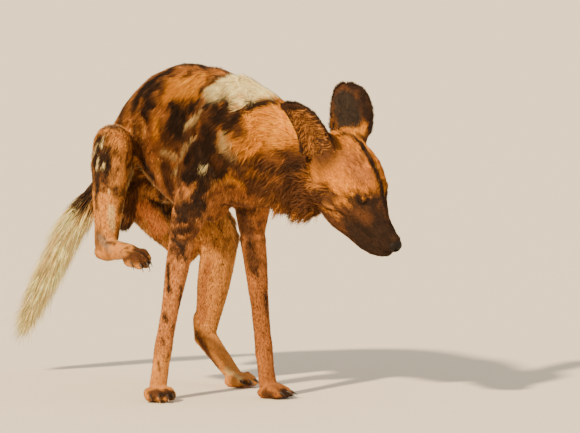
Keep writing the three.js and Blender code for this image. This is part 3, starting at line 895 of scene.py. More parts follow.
class Markings:
    """The coat's pattern: strokes drawn on the side, patches grown from noise on the other."""

    JUMP = 45.0  # a stroke isn't carried over a step in depth longer than this, in mm
    MIDDLE = 14.0  # a stroke on the face this far from its middle is laid on both sides, in mm
    BRINDLE = 0.74  # the most that dark hairs cover of the ground colour
    BRINDLE_FROM = 240.0  # the height above which they grow, in mm
    MARBLE = 0.4  # the most that a dark stroke is broken up
    MARBLE_REACH = 10.0  # narrower strokes are whole, in mm
    RAGGED = 7.5  # the most that a stroke's edge wanders, in mm
    EAR_REGION = 100.0  # mm from an ear's middle

    def __init__(self, viewpoint: Viewpoint, tree: BVHTree) -> None:
        """Lays the strokes on the skin.

        Args:
            viewpoint: the camera the strokes are drawn from.
            tree: the skin.
        """
        self.facing = -viewpoint.look
        self.lengths = []
        for stroke in STROKES:
            spots = casts(stroke.points, viewpoint, tree)
            self.lay(spots, stroke)
            sides = (np.array(spots) - HEAD_BASE) @ HEAD_LEFT
            if np.all(Body(np.array(spots)).within("head")) and abs(sides.mean()) > self.MIDDLE:
                self.lay([spot - 2 * side * HEAD_LEFT for spot, side in zip(spots, sides)], stroke)

    def lay(self, spots: list[np.ndarray], stroke: Stroke) -> None:
        """Keeps a stroke as straight lengths between its places on the skin.

        Args:
            spots: the places in mm.
            stroke: the stroke.
        """
        for start, end in zip(spots, spots[1:]):
            deep = float((end - start) @ self.facing)
            flat = np.linalg.norm((end - start) - self.facing * deep)
            self.lengths.append((start, start if abs(deep) > flat + self.JUMP else end, stroke))

    def colours(self, points: np.ndarray, normals: np.ndarray) -> np.ndarray:
        """The coat's colour at each place.

        Args:
            points: the places in mm, one row each.
            normals: the skin's outward directions there.

        Returns:
            One linear colour for each place.
        """
        body = Body(points)
        colour = body.of(lambda b: b.hue.value)
        warp = noise(points, 11, 3) + 0.6 * noise(points, 5, 4)
        colour = colour * (1 + 0.16 * noise(points, 24, 5))[:, None]
        lumps = noise(points * (1, 1, 0.6), 12, 6) + 0.5 * noise(points * (1, 1, 0.6), 6, 7)
        brindle = self.BRINDLE * smooth_step(0.5 + 2.6 * (lumps - 0.14))
        brindle *= body.within("trunk", "legs", "haunch")
        brindle *= smooth_step((points[:, 2] - self.BRINDLE_FROM) / 90)
        colour = blend(colour, brindle, Hue.DARK.value)
        away = smooth_step(0.5 - 1.6 * (normals @ self.facing))
        colour = self.patched(points, colour, away * body.within("trunk", "neck", "haunch", "legs"))
        marble = noise(points * (1, 1, 0.7), 10, 8) + 0.6 * noise(points, 4.5, 9)
        marble = self.MARBLE * smooth_step(0.5 + 2.2 * (marble - 0.6))
        marble *= body.within("trunk", "legs", "haunch", "neck")
        for start, end, stroke in self.lengths:
            room = np.linalg.norm(end - start) / 2 + stroke.reach + stroke.soft + 12
            near = np.flatnonzero(((points - (start + end) / 2) ** 2).sum(axis=1) < room * room)
            far = line_distance(points[near], start, end) + warp[near] * min(0.42 * stroke.reach, self.RAGGED)
            share = smooth_step(0.5 - (far - stroke.reach) / (2 * stroke.soft))
            if stroke.reach > self.MARBLE_REACH and stroke.hue in (Hue.DARK, Hue.BROWN):
                share *= 1 - marble[near]
            colour[near] = blend(colour[near], share, stroke.hue.value)
        throat = smooth_step((100 - (points - HEAD_BASE) @ HEAD_FORWARD) / 30) * body.within("neck", "head")
        below = 0.8 * throat * smooth_step(0.3 - 1.6 * normals[:, 2])
        colour = blend(colour, below, Hue.BROWN.value)
        colour = self.on_ears(points, normals, colour, body.within("ears"))
        return self.on_tail(points, colour, body.within("tail"))

    def patched(self, points: np.ndarray, colour: np.ndarray, share: np.ndarray) -> np.ndarray:
        """Adds the patches of the side turned from the camera.

        Args:
            points: the places in mm.
            colour: the colours so far.
            share: how much of the patches each place takes.

        Returns:
            The new colours.
        """
        lumps = noise(points, 74, 11) + 0.5 * noise(points, 33, 12) + 0.22 * noise(points, 12, 13)
        pale = noise(points, 88, 14) + 0.45 * noise(points, 30, 15) + 0.22 * noise(points, 12, 16)
        warm = noise(points, 60, 17)
        for value, edge, hue in ((warm, 0.1, Hue.ORANGE), (lumps, 0.08, Hue.DARK), (pale, 0.52, Hue.WHITE)):
            colour = blend(colour, share * smooth_step(0.5 + (value - edge) * 6), hue.value)
        return colour

    def on_ears(self, points: np.ndarray, normals: np.ndarray, colour: np.ndarray,
                mine: np.ndarray) -> np.ndarray:
        """Darkens the hollow of each ear.

        Args:
            points: the places in mm.
            normals: the skin's outward directions there.
            colour: the colours so far.
            mine: True on the ears.

        Returns:
            The new colours.
        """
        for root, reach, hollow in EARS.values():
            along = (points - root) @ reach
            inside = smooth_step(0.5 + 2.2 * (normals @ hollow))
            middle = root + reach * EAR_LENGTH / 2
            close = mine & (sizes(points - middle) < self.EAR_REGION)
            depth = inside * close * smooth_step(along / 40)
            colour = blend(colour, depth, Hue.HOLLOW.value)
        return colour

    def on_tail(self, points: np.ndarray, colour: np.ndarray, mine: np.ndarray) -> np.ndarray:
        """Gives the tail its dark band and its pale brush.

        Args:
            points: the places in mm.
            colour: the colours so far.
            mine: True on the tail.

        Returns:
            The new colours.
        """
        way = unit(TAIL_LINE[5] - TAIL_LINE[0])
        along = (points - TAIL_LINE[0]) @ way + 7 * noise(points, 14, 21)
        above = (points - TAIL_LINE[0]) @ unit(np.cross(way, self.facing))
        band = smooth_step((along - 26) / 14) * smooth_step((112 - along) / 26) * smooth_step(0.5 + above / 5)
        tip = smooth_step((along - 74) / 34)
        return blend(blend(colour, tip * mine, Hue.STRAW.value), band * mine, Hue.DARK.value)


@dataclass
class Skin:
    """The flesh as one closed surface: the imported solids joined, smoothed and drawn in by the coat."""

    name: str
    nodes: tuple[str, ...]
    voxel: float
    rounds: int
    cut_at: np.ndarray
    cut_facing: np.ndarray
    grow: float = 0.0008
    balls: Balls = ()
    blend_rounds: int = 0
    blend_back: float = 0.35
    blend_reach: float = 58.0  # mm from the foot of an ear
    blend_top: float = 22.0  # mm up the ear

    def joined(self) -> Object:
        """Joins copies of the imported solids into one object.

        Returns:
            The joined object, still faceted.
        """
        whole = bmesh.new()
        for name in self.nodes:
            part = bmesh.new()
            part.from_mesh(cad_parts[name].data)
            bmesh.ops.remove_doubles(part, verts=part.verts, dist=WELD)
            part.normal_update()
            for vert in part.verts:
                vert.co += vert.normal * self.grow
            merge_into(whole, part)
        for spot, radius in self.balls:
            where = Matrix.Translation(Vector(spot * MM))
            bmesh.ops.create_uvsphere(whole, u_segments=14, v_segments=8, radius=radius * MM, matrix=where)
        return finished("flesh", whole)

    def remeshed(self, holder: Object) -> Object:
        """Wraps an object and cuts it where the next skin takes over.

        Args:
            holder: the joined solids, which are removed.

        Returns:
            The wrapped object.
        """
        mesh = wrapped(holder, self.voxel)
        shape = bmesh.new()
        shape.from_mesh(mesh)
        bpy.data.meshes.remove(mesh)
        sliced = bmesh.ops.bisect_plane(
            shape, geom=[*shape.verts, *shape.edges, *shape.faces], plane_co=self.cut_at * MM,
            plane_no=self.cut_facing, clear_outer=True,
        )
        rim = [part for part in sliced["geom_cut"] if isinstance(part, bmesh.types.BMEdge)]
        bmesh.ops.holes_fill(shape, edges=rim, sides=0)
        return finished(self.name, shape)

    def build(self) -> Object:
        """Makes the skin, evens the foot of each ear into the crown and draws the skin in.

        Returns:
            The skin object.
        """
        skin = self.remeshed(self.joined())
        mesh = skin.data
        edges = read_edges(mesh)
        points = relax(read_points(mesh), edges, self.rounds)
        for root, reach, hollow in EARS.values():
            foot = root - 6 * reach + 6 * hollow
            share = smooth_step((self.blend_reach - sizes(points - foot)) / 26)
            share *= smooth_step((self.blend_top - (points - root) @ reach) / 18)
            points = relax(points, edges, self.blend_rounds, share, self.blend_back)
        write_points(mesh, points)
        body = Body(points)
        write_points(mesh, points - read_normals(mesh) * body.of(lambda b: b.hair.depth)[:, None])
        mesh.shade_smooth()
        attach(skin, "root")
        return skin


JAW_X = (130, 160, 190, 212, 226, 236)
JAW_Z = (-62, -60, -56, -49, -40, -32)
JAW_RADIUS = (23, 22.5, 20.5, 18, 15.5, 12.5)


def muzzle_balls() -> Balls:
    """Balls that fill the lips, the chin and the lower edge of the jaw.

    Returns:
        The places and radii in mm.
    """
    balls = [(in_head(228, 0, -16), 21.5), (in_head(214, 0, -24), 21.0)]
    for x in range(JAW_X[0], JAW_X[-1] + 1, 4):
        balls.append((in_head(x, 0, np.interp(x, JAW_X, JAW_Z)), float(np.interp(x, JAW_X, JAW_RADIUS))))
    return tuple(balls)


def ear_roots() -> Balls:
    """Balls that close the foot of each ear and blend it into the crown.

    Returns:
        The places and radii in mm.
    """
    balls = []
    for root, reach, hollow in EARS.values():
        balls.append((root + 2 * reach - 14 * hollow, 21.0))
        balls.append((root - 16 * reach - 14 * hollow, 27.0))
        balls.append((root + 16 * reach - 17 * hollow, 13.0))
    return tuple(balls)


def tail_places(step: float) -> Balls:
    """Places along the tail's core with its radius there.

    Args:
        step: the distance between them in mm.

    Returns:
        The places and radii in mm.
    """
    found = []
    for index in range(len(TAIL_LINE) - 1):
        start, end = TAIL_LINE[index], TAIL_LINE[index + 1]
        count = max(1, int(np.linalg.norm(end - start) / step))
        for turn in range(count):
            share = turn / count
            radius = TAIL_CORE[index] * (1 - share) + TAIL_CORE[index + 1] * share
            found.append((start * (1 - share) + end * share, radius))
    return tuple(found)


def crease(mesh: Mesh, viewpoint: Viewpoint, tree: BVHTree) -> None:
    """Presses the folds into a skin and raises its swells.

    Args:
        mesh: the skin.
        viewpoint: the camera the folds are drawn from.
        tree: the skin before.
    """
    points = read_points(mesh)
    normals = read_normals(mesh)
    shift = np.zeros(len(points))
    for fold in FOLDS:
        spots = casts(fold.points, viewpoint, tree)
        far = np.min([line_distance(points, a, b) for a, b in zip(spots, spots[1:])], axis=0)
        shift += fold.height * np.exp(-((far / fold.reach) ** 2))
    shift += 0.5 * noise(points, 18, 31) * (1 - Body(points).within("head", "ears"))
    write_points(mesh, points + normals * shift[:, None])


def tree_of(*skins: Object) -> BVHTree:
    """One search tree over several skins.

    Args:
        skins: the skins.

    Returns:
        The tree.
    """
    shape = bmesh.new()
    for skin in skins:
        shape.from_mesh(skin.data)
    tree = BVHTree.FromBMesh(shape)
    shape.free()
    return tree


def paint(mesh: Mesh, colours: np.ndarray) -> None:
    """Writes one colour for each vertex of a mesh.

    Args:
        mesh: the mesh.
        colours: the linear colours, one row each.
    """
    layer = mesh.color_attributes.new("coat", "FLOAT_COLOR", "POINT")
    full = np.ones((len(colours), 4), np.float32)
    full[:, :3] = np.clip(colours, 0, 1)
    layer.data.foreach_set("color", full.ravel())


def unwrap(skin: Object) -> None:
    """Unwraps a skin by its own shape.

    Args:
        skin: the skin.
    """
    skin.data.uv_layers.new(name=MAP_NAME)
    bpy.ops.object.select_all(action="DESELECT")
    bpy.context.view_layer.objects.active = skin
    skin.select_set(True)
    bpy.ops.object.mode_set(mode="EDIT")
    bpy.ops.mesh.select_all(action="SELECT")
    bpy.ops.uv.smart_project(angle_limit=math.radians(66), island_margin=0.002)
    bpy.ops.object.mode_set(mode="OBJECT")


class Ground:
    """A skin ready to grow hair from: its triangles with their normals and map places."""

    def __init__(self, skin: Object) -> None:
        """Reads a skin.

        Args:
            skin: the skin, already unwrapped.
        """
        mesh = skin.data
        mesh.calc_loop_triangles()
        corners = read(mesh.loop_triangles, "vertices", 3, np.int32)
        self.corners = read_points(mesh)[corners]
        self.normals = read_normals(mesh)[corners]
        loops = read(mesh.loop_triangles, "loops", 3, np.int32)
        self.places = read(mesh.uv_layers[MAP_NAME].data, "uv", 2)[loops]
        side = np.cross(self.corners[:, 1] - self.corners[:, 0], self.corners[:, 2] - self.corners[:, 0])
        self.area = sizes(side) / 2
        self.centres = self.corners.mean(axis=1)

    def sown(self, count: int, wanted: np.ndarray, rng: np.random.Generator) -> "Roots":
        """Roots spread over part of the skin.

        Args:
            count: how many.
            wanted: how thickly each triangle is sown.
            rng: the random numbers.

        Returns:
            The roots.
        """
        chance = self.area * wanted
        picked = rng.choice(len(chance), size=count, p=chance / chance.sum())
        share = rng.dirichlet((1, 1, 1), size=count)
        return Roots(
            np.einsum("ij,ijk->ik", share, self.corners[picked]),
            unit(np.einsum("ij,ijk->ik", share, self.normals[picked])),
            np.einsum("ij,ijk->ik", share, self.places[picked]),
        )


@dataclass
class Roots:
    """Where hairs grow: places in mm, outward directions and map places."""

    points: np.ndarray
    normals: np.ndarray
    places: np.ndarray


def combed(roots: Roots, lie: np.ndarray) -> np.ndarray:
    """A lie laid flat on the skin at each root."""
    return unit(lie - roots.normals * dot(lie, roots.normals)[:, None])


@dataclass(frozen=True)
class Blade:
    """The shape of one hair: its faces, how bright each corner is (painted shade at the root, a painted
    highlight at the tip) and where it lies on the map.
    """

    faces: tuple[tuple[int, int, int], ...]
    # painted shade at the root corners and a painted highlight at the tip
    shade: tuple[float, ...]
    spots: Line


STRAIGHT = Blade(
    faces=((0, 3, 2), (2, 3, 1), (1, 3, 0), (0, 2, 1)),
    shade=(0.55, 0.55, 0.78, 1.25),
    spots=((-0.5, 0.0), (0.5, 0.0), (0.0, 0.2), (0.0, 1.0)),
)
BENT = Blade(
    faces=(
        (0, 3, 5), (0, 5, 2), (2, 5, 4), (2, 4, 1), (1, 4, 3), (1, 3, 0),
        (3, 6, 5), (5, 6, 4), (4, 6, 3), (0, 2, 1),
    ),
    shade=(0.62, 0.62, 0.76, 0.98, 0.98, 1.04, 1.2),
    spots=((-0.5, 0.0), (0.5, 0.0), (0.0, 0.2), (-0.4, 0.5), (0.4, 0.5), (0.0, 0.6), (0.0, 1.0)),
)


@dataclass
class Tufts:
    """Hair as thin closed blades, straight or with one bend."""

    name: str
    roots: Roots
    way: np.ndarray
    length: np.ndarray
    width: np.ndarray
    lift: np.ndarray
    colour: np.ndarray
    droop: np.ndarray | None = None
    sink: float = 0.4  # mm that its foot is under the skin
    ridge: float = 0.7  # its height beside its width
    taper: float = 0.8  # its width at the bend beside that at its foot

    def build(self, finish: Material, slot: str) -> Object:
        """Makes the blades as one mesh.

        Args:
            finish: the material.
            slot: not used.

        Returns:
            The object.
        """
        roots = self.roots
        up = roots.normals
        lean = unit(self.way * np.cos(self.lift)[:, None] + up * np.sin(self.lift)[:, None])
        side = unit(np.cross(up, lean)) * self.width[:, None]
        ridge = unit(np.cross(lean, side)) * (self.width * self.ridge)[:, None]
        base = roots.points - up * self.sink
        rings = [(base, 1.0)]
        if self.droop is not None:
            middle = base + lean * (self.length * 0.5)[:, None]
            rings.append((middle, self.taper))
            tip = middle + unit(lean + self.droop) * (self.length * 0.5)[:, None]
        else:
            tip = base + lean * self.length[:, None]
        places = []
        for centre, size in rings:
            places += [centre - side * size, centre + side * size, centre + ridge * size]
        places.append(tip)
        for row in places:
            row[:, 2] = np.maximum(row[:, 2], LOWEST_HAIR)
        return self.meshed(np.stack(places, axis=1), finish)

    def meshed(self, places: np.ndarray, finish: Material) -> Object:
        """Writes the blades' corners, faces, colours and map.

        Args:
            places: the corners of each blade in mm.
            finish: the material.

        Returns:
            The object.
        """
        blade = STRAIGHT if self.droop is None else BENT
        count, corners = places.shape[:2]
        faces = (np.array(blade.faces)[None] + (np.arange(count) * corners)[:, None, None]).reshape(-1, 3)
        mesh = bpy.data.meshes.new(self.name)
        mesh.vertices.add(count * corners)
        mesh.loops.add(len(faces) * 3)
        mesh.polygons.add(len(faces))
        mesh.vertices.foreach_set("co", (places * MM).astype(np.float32).ravel())
        mesh.loops.foreach_set("vertex_index", faces.astype(np.int32).ravel())
        mesh.polygons.foreach_set("loop_start", np.arange(0, len(faces) * 3, 3, dtype=np.int32))
        mesh.update(calc_edges=True)
        # each corner's colour is scaled by the blade's painted shade and highlight
        paint(mesh, (self.colour[:, None] * np.array(blade.shade)[None, :, None]).reshape(-1, 3))
        spots = (self.roots.places[:, None] + np.array(blade.spots)[None] * PATCH_SIZE).reshape(-1, 2)
        layer = mesh.uv_layers.new(name=MAP_NAME)
        layer.data.foreach_set("uv", spots[faces.ravel()].astype(np.float32).ravel())
        mesh.shade_smooth()
        mesh.materials.append(finish)
        made = linked(self.name, mesh)
        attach(made, "root")
        LOG.info("%s: %d blades, %d triangles", self.name, count, len(faces))
        return made


class Coat:
    """Grows the fur."""

    def __init__(self, markings: Markings, finish: Material) -> None:
        """Keeps what every patch of fur needs.

        Args:
            markings: the coat's pattern.
            finish: the hair's material.
        """
        self.markings = markings
        self.finish = finish
        self.rng = np.random.default_rng(SEED)

    def tinted(self, roots: Roots, lie: np.ndarray, stray: float = 2.2) -> np.ndarray:
        """Each hair's colour, in streaks that run with the lie and over the edges of the pattern.

        Args:
            roots: where the hairs grow.
            lie: which way they lie.
            stray: how far single hairs stray, in mm.

        Returns:
            One colour for each hair.
        """
        body = Body(roots.points)
        anchor = np.array([b.start for b in BONES])[body.nearest]
        rel = roots.points - anchor
        along = dot(rel, lie)[:, None]
        drawn = rel - 0.8 * along * lie + anchor
        streak = noise(drawn, 4.6, 43) + 0.6 * noise(drawn, 2.2, 44)
        shifted = roots.points + lie * (9.0 * streak)[:, None]
        shifted += self.rng.normal(0, stray, roots.points.shape)
        colour = self.markings.colours(shifted, roots.normals)
        bright = self.rng.normal(1.0, 0.18, len(colour)) * (1 + 0.82 * streak) * (1 + 0.1 * noise(rel, 9, 41))
        return colour * np.clip(bright, 0.32, 1.9)[:, None]

    def short(self, name: str, ground: Ground, regions: tuple[str, ...], count: int, slot: str = "coat",
              side: int = 0) -> Object:
        """The close fur of some regions.

        Args:
            name: the piece's name.
            ground: the skin it grows from.
            regions: the regions.
            count: how many blades.
            slot: handed on to the blades' build.
            side: 1 for the half turned to the camera, -1 for the other, 0 for both.

        Returns:
            The object.
        """
        wanted = Body(ground.centres).within(*regions).astype(float)
        if side:
            facing = ground.normals.mean(axis=1) @ self.markings.facing
            wanted *= facing * side > 0
        roots = ground.sown(count, wanted, self.rng)
        body = Body(roots.points)
        lie = body.of(lambda b: b.lie) + 0.30 * swirl(roots.points, 26, 50)
        lie = lie + self.rng.normal(0, 0.10, roots.points.shape)
        length = body.of(lambda b: b.hair.length) * self.rng.uniform(0.7, 1.25, count)
        width = body.of(lambda b: b.hair.width) * self.rng.uniform(0.7, 1.2, count)
        lift = body.of(lambda b: b.hair.lift) * self.rng.uniform(0.5, 1.5, count)
        way = combed(roots, lie)
        tufts = Tufts(name, roots, way, length, width, lift, self.tinted(roots, way))
        return tufts.build(self.finish, slot)

    def brush(self, ground: Ground, count: int) -> Object:
        """The long hair of the tail.

        Args:
            ground: the skin with the tail's core.
            count: how many blades.

        Returns:
            The object.
        """
        roots = ground.sown(count, Body(ground.centres).within("tail").astype(float), self.rng)
        along = (roots.points - TAIL_LINE[0]) @ unit(TAIL_LINE[6] - TAIL_LINE[0])
        full = smooth_step((along - 20) / 90)
        body = Body(roots.points)
        lie = body.of(lambda b: b.lie) + self.rng.normal(0, 0.07, roots.points.shape)
        length = (26 + 52 * full) * self.rng.uniform(0.7, 1.15, count)
        lift = (0.10 + 0.26 * full) * self.rng.uniform(0.2, 1.4, count)
        droop = -0.45 * roots.normals * lift[:, None] + self.rng.normal(0, 0.05, roots.points.shape)
        droop[:, 2] -= 0.12
        width = 0.75 * self.rng.uniform(0.7, 1.25, count)
        way = combed(roots, lie)
        tufts = Tufts("tail_brush", roots, way, length, width, lift, self.tinted(roots, way, 4.0), droop)
        return tufts.build(self.finish, "tail_hair")

    def fringe(self, name: str, ground: Ground, wanted: np.ndarray, count: int, length: float, lift: float,
               lean: Triple, slot: str = "coat", hue: Hue | None = None) -> Object:
        """Longer hair that stands out where the coat is ragged.

        Args:
            name: the piece's name.
            ground: the skin it grows from.
            wanted: how thickly each triangle is sown.
            count: how many blades.
            length: their length in mm.
            lift: how far they stand off the skin, in radians.
            lean: what is added to the lie.
            slot: handed on to the blades' build.
            hue: its one colour, where it hasn't the pattern's.

        Returns:
            The object.
        """
        roots = ground.sown(count, wanted, self.rng)
        body = Body(roots.points)
        turned = swirl(roots.points, 17, 60)
        lie = body.of(lambda b: b.lie) + np.array(lean) + 0.45 * turned
        lie += self.rng.normal(0, 0.16, roots.points.shape)
        long = length * self.rng.uniform(0.6, 1.3, count)
        raised = lift * self.rng.uniform(0.5, 1.4, count)
        droop = 0.5 * turned - 0.35 * roots.normals * raised[:, None]
        droop[:, 2] -= 0.2
        width = 0.62 * self.rng.uniform(0.7, 1.3, count)
        way = combed(roots, lie)
        colour = self.tinted(roots, way, 3.0)  # also for hair of one colour, so that the draws stay in order
        if hue is not None:
            colour = np.array(hue.value) * self.rng.uniform(0.7, 1.3, (count, 1))
        tufts = Tufts(name, roots, way, long, width, raised, colour, droop)
        return tufts.build(self.finish, slot)

    def ear_hair(self, ground: Ground, count: int) -> Object:
        """The tan and brown hair that lines the hollow of each ear.

        Args:
            ground: the skin of the head.
            count: how many blades.

        Returns:
            The object.
        """
        roots = ground.sown(count, in_hollows(ground), self.rng)
        right, left = EARS["right"], EARS["left"]
        to_right = sizes(roots.points - right.root)
        to_left = sizes(roots.points - left.root)
        nearer = (to_right < to_left)[:, None]
        base, reach, hollow = (np.where(nearer, ours, theirs) for ours, theirs in zip(right, left))
        rel = roots.points - base
        across = np.cross(reach, hollow)
        inward = -across * np.sign(dot(rel, across))[:, None]
        lie = 0.55 * reach + 1.1 * inward + self.rng.normal(0, 0.12, roots.points.shape)
        open_to = np.clip(dot(roots.normals, hollow), 0, 1)
        length = 20 * self.rng.uniform(0.4, 1.2, count) * (0.25 + 0.75 * open_to**2)
        lift = 0.34 * self.rng.uniform(0.4, 1.5, count)
        droop = 0.25 * reach + self.rng.normal(0, 0.08, roots.points.shape)
        colour = np.where(self.rng.random(count)[:, None] < 0.45, Hue.TAN.value, Hue.BROWN.value)
        fold = 1 - 0.65 * np.exp(-(((dot(rel, across) - 3) / 4) ** 2))
        colour = colour * (self.rng.uniform(0.65, 1.3, count) * fold)[:, None]
        width = 0.5 * self.rng.uniform(0.7, 1.2, count)
        tufts = Tufts("ear_hair", roots, combed(roots, lie), length, width, lift, colour, droop)
        return tufts.build(self.finish, "ear")


def in_hollows(ground: Ground) -> np.ndarray:
    """Where the ears' hollows are.

    Args:
        ground: the skin of the head.

    Returns:
        How thickly each triangle is sown.
    """
    wanted = np.zeros(len(ground.area))
    normals = ground.normals.mean(axis=1)
    for root, reach, hollow in EARS.values():
        rel = ground.centres - root
        along = rel @ reach
        inside = (normals @ hollow > 0.4) & (sizes(rel) < 150)
        strip = 0.5 + smooth_step(0.5 - (rel @ np.cross(reach, hollow)) / 12)
        wanted += inside * smooth_step(along / 20) * smooth_step((118 - along) / 30) * strip
    return wanted


def on_rims(ground: Ground) -> np.ndarray:
    """Where the ears' edges are.

    Args:
        ground: the skin of the head.

    Returns:
        How thickly each triangle is sown.
    """
    wanted = np.zeros(len(ground.area))
    normals = ground.normals.mean(axis=1)
    for root, reach, hollow in EARS.values():
        rel = ground.centres - root
        across = np.cross(reach, hollow)
        edge = smooth_step((np.abs(normals @ across) + 0.8 * np.clip(normals @ reach, 0, 1) - 0.72) / 0.2)
        half = np.abs(rel @ across) / 40 + np.clip(rel @ reach - 90, 0, None) / 40
        mine = sizes(rel - reach * EAR_LENGTH / 2) < 95
        wanted += edge * (mine * smooth_step((rel @ reach - 10) / 20)) * smooth_step((half - 0.62) / 0.2)
    return wanted


@dataclass(frozen=True)
class Eye:
    """One eye with its lids all but shut, in mm."""

    side: str
    ahead: float = 134.0
    out: float = 38.0
    up: float = 16.0
    radius: float = 10.0
    pupil: Triple = (0.004, 0.003, 0.003)
    iris: Triple = (0.030, 0.013, 0.006)
    white: Triple = (0.045, 0.028, 0.020)
    lid_half_length: float = 9.0
    lid_half_height: float = 1.0
    lid_tilt: float = 0.35  # radians down towards the nose
    lid_height: float = 2.4  # over the ball
    lid_thickness: float = 0.11  # beside its half length

    @property
    def outward(self) -> np.ndarray:
        """The way that this side of the head faces."""
        return HEAD_LEFT if self.side == "left" else -HEAD_LEFT

    @property
    def centre(self) -> np.ndarray:
        """The middle of the ball."""
        return HEAD_BASE + self.ahead * HEAD_FORWARD + self.out * self.outward + self.up * HEAD_UP

    def ball(self) -> Object:
        """The eyeball with its iris turned outward.

        Returns:
            The object.
        """
        shape = bmesh.new()
        where = Matrix.Translation(Vector(self.centre * MM))
        bmesh.ops.create_uvsphere(shape, u_segments=48, v_segments=32, radius=self.radius * MM, matrix=where)
        eye = finished(f"eyeball_{self.side}", shape)
        gaze = unit(0.35 * HEAD_FORWARD + 0.93 * self.outward)
        rel = unit(read_points(eye.data) - self.centre) @ gaze
        colour = np.where(rel[:, None] > 0.96, self.pupil, self.iris)
        paint(eye.data, np.where(rel[:, None] > 0.80, colour, self.white))
        eye.data.shade_smooth()
        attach(eye, "root")
        return eye

    def lid_rim(self) -> Object:
        """The dark bare edge round the eye's opening.

        Returns:
            The object.
        """
        shape = bmesh.new()
        upright = Matrix.Translation((1, 0, 0)) @ Matrix.Rotation(math.pi / 2, 4, "X")
        ring = bmesh.ops.create_circle(shape, segments=10, radius=self.lid_thickness, matrix=upright)
        parts = [*ring["verts"], *{edge for vert in ring["verts"] for edge in vert.link_edges}]
        bmesh.ops.spin(
            shape, geom=parts, cent=(0, 0, 0), axis=(0, 0, 1), angle=math.tau, steps=48, use_merge=True
        )
        along = math.cos(self.lid_tilt) * HEAD_FORWARD - math.sin(self.lid_tilt) * HEAD_UP
        over = np.cross(along, self.outward)
        over = over if over @ HEAD_UP > 0 else -over
        middle = 2.6 * HEAD_FORWARD - 1.4 * HEAD_UP
        for vert in shape.verts:
            x, y, z = vert.co
            flat = middle + along * x * self.lid_half_length + over * y * self.lid_half_height
            height = self.radius + self.lid_height + z * self.lid_half_length
            vert.co = (self.centre + unit(flat + self.outward * 12.0) * height) * MM
        bmesh.ops.recalc_face_normals(shape, faces=shape.faces)
        rim = finished(f"lid_rim_{self.side}", shape)
        rim.data.shade_smooth()
        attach(rim, "root")
        return rim


@dataclass(frozen=True)
class NosePad:
    """The bare nose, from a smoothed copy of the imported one."""

    voxel: float = 0.0009
    rounds: int = 10

    def build(self) -> Object:
        """Makes the pad.

        Returns:
            The object.
        """
        shape = bmesh.new()
        shape.from_mesh(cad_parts["nose"].data)
        bmesh.ops.remove_doubles(shape, verts=shape.verts, dist=WELD)
        mesh = wrapped(finished("nose_copy", shape), self.voxel)
        mesh.name = "nose_pad"
        write_points(mesh, relax(read_points(mesh), read_edges(mesh), self.rounds))
        mesh.shade_smooth()
        pad = linked("nose_pad", mesh)
        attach(pad, "root")
        return pad


@dataclass(frozen=True)
class Paw:
    """Where a paw is, which way it points, and the sizes of its claws in mm."""

    name: str
    at: np.ndarray
    ahead: Triple
    up: Triple = (0, 0, 1)
    scale: float = 0.92
    toes: Line = ((32, -25), (46, -9.5), (46, 9.5), (32, 25))  # ahead of the paw's middle and to its left
    claw_length: float = 20.0
    claw_root: float = 3.3
    claw_tip: float = 0.7

    def claws(self) -> Object:
        """The four claws of the paw.

        Returns:
            The object.
        """
        shape = bmesh.new()
        ahead = unit(np.array(self.ahead, float))
        left = unit(np.cross(np.array(self.up, float), ahead))
        over = np.cross(ahead, left)
        lying = Matrix.Translation((self.claw_length / 2, 0, 0)) @ Matrix.Rotation(math.pi / 2, 4, "Y")
        for x, y in self.toes:
            one = bmesh.new()
            bmesh.ops.create_cone(
                one, cap_ends=True, segments=12, radius1=self.claw_root, radius2=self.claw_tip,
                depth=self.claw_length, matrix=lying,
            )
            long = self.claw_length / 2
            walls = [edge for edge in one.edges if abs(edge.verts[0].co.x - edge.verts[1].co.x) > long]
            bmesh.ops.subdivide_edges(one, edges=walls, cuts=5)
            for vert in one.verts:
                along, across, high = vert.co
                drop = -4.0 - 10.0 * (along / self.claw_length) ** 2
                spot = (x + along) * ahead + (y + across * 0.8) * left + (drop + high) * over
                vert.co = (self.at + spot * self.scale) * MM
            merge_into(shape, one)
        bmesh.ops.recalc_face_normals(shape, faces=shape.faces)
        made = finished(f"claws_{self.name}", shape)
        made.data.shade_smooth()
        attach(made, "root")
        return made


PAWS = (
    Paw("fore_right", place(-28, -116, 11), (0.96, -0.28, 0)),
    Paw("fore_left", place(44, 100, 11), (0.8, 0.6, 0)),
    Paw("hind_right", place(-50, -163, 293), (0.9, 0.12, -0.42), (0.42, 0, 0.9)),
    Paw("hind_left", place(-168, 150, 11), (0.95, 0.31, 0)),
)


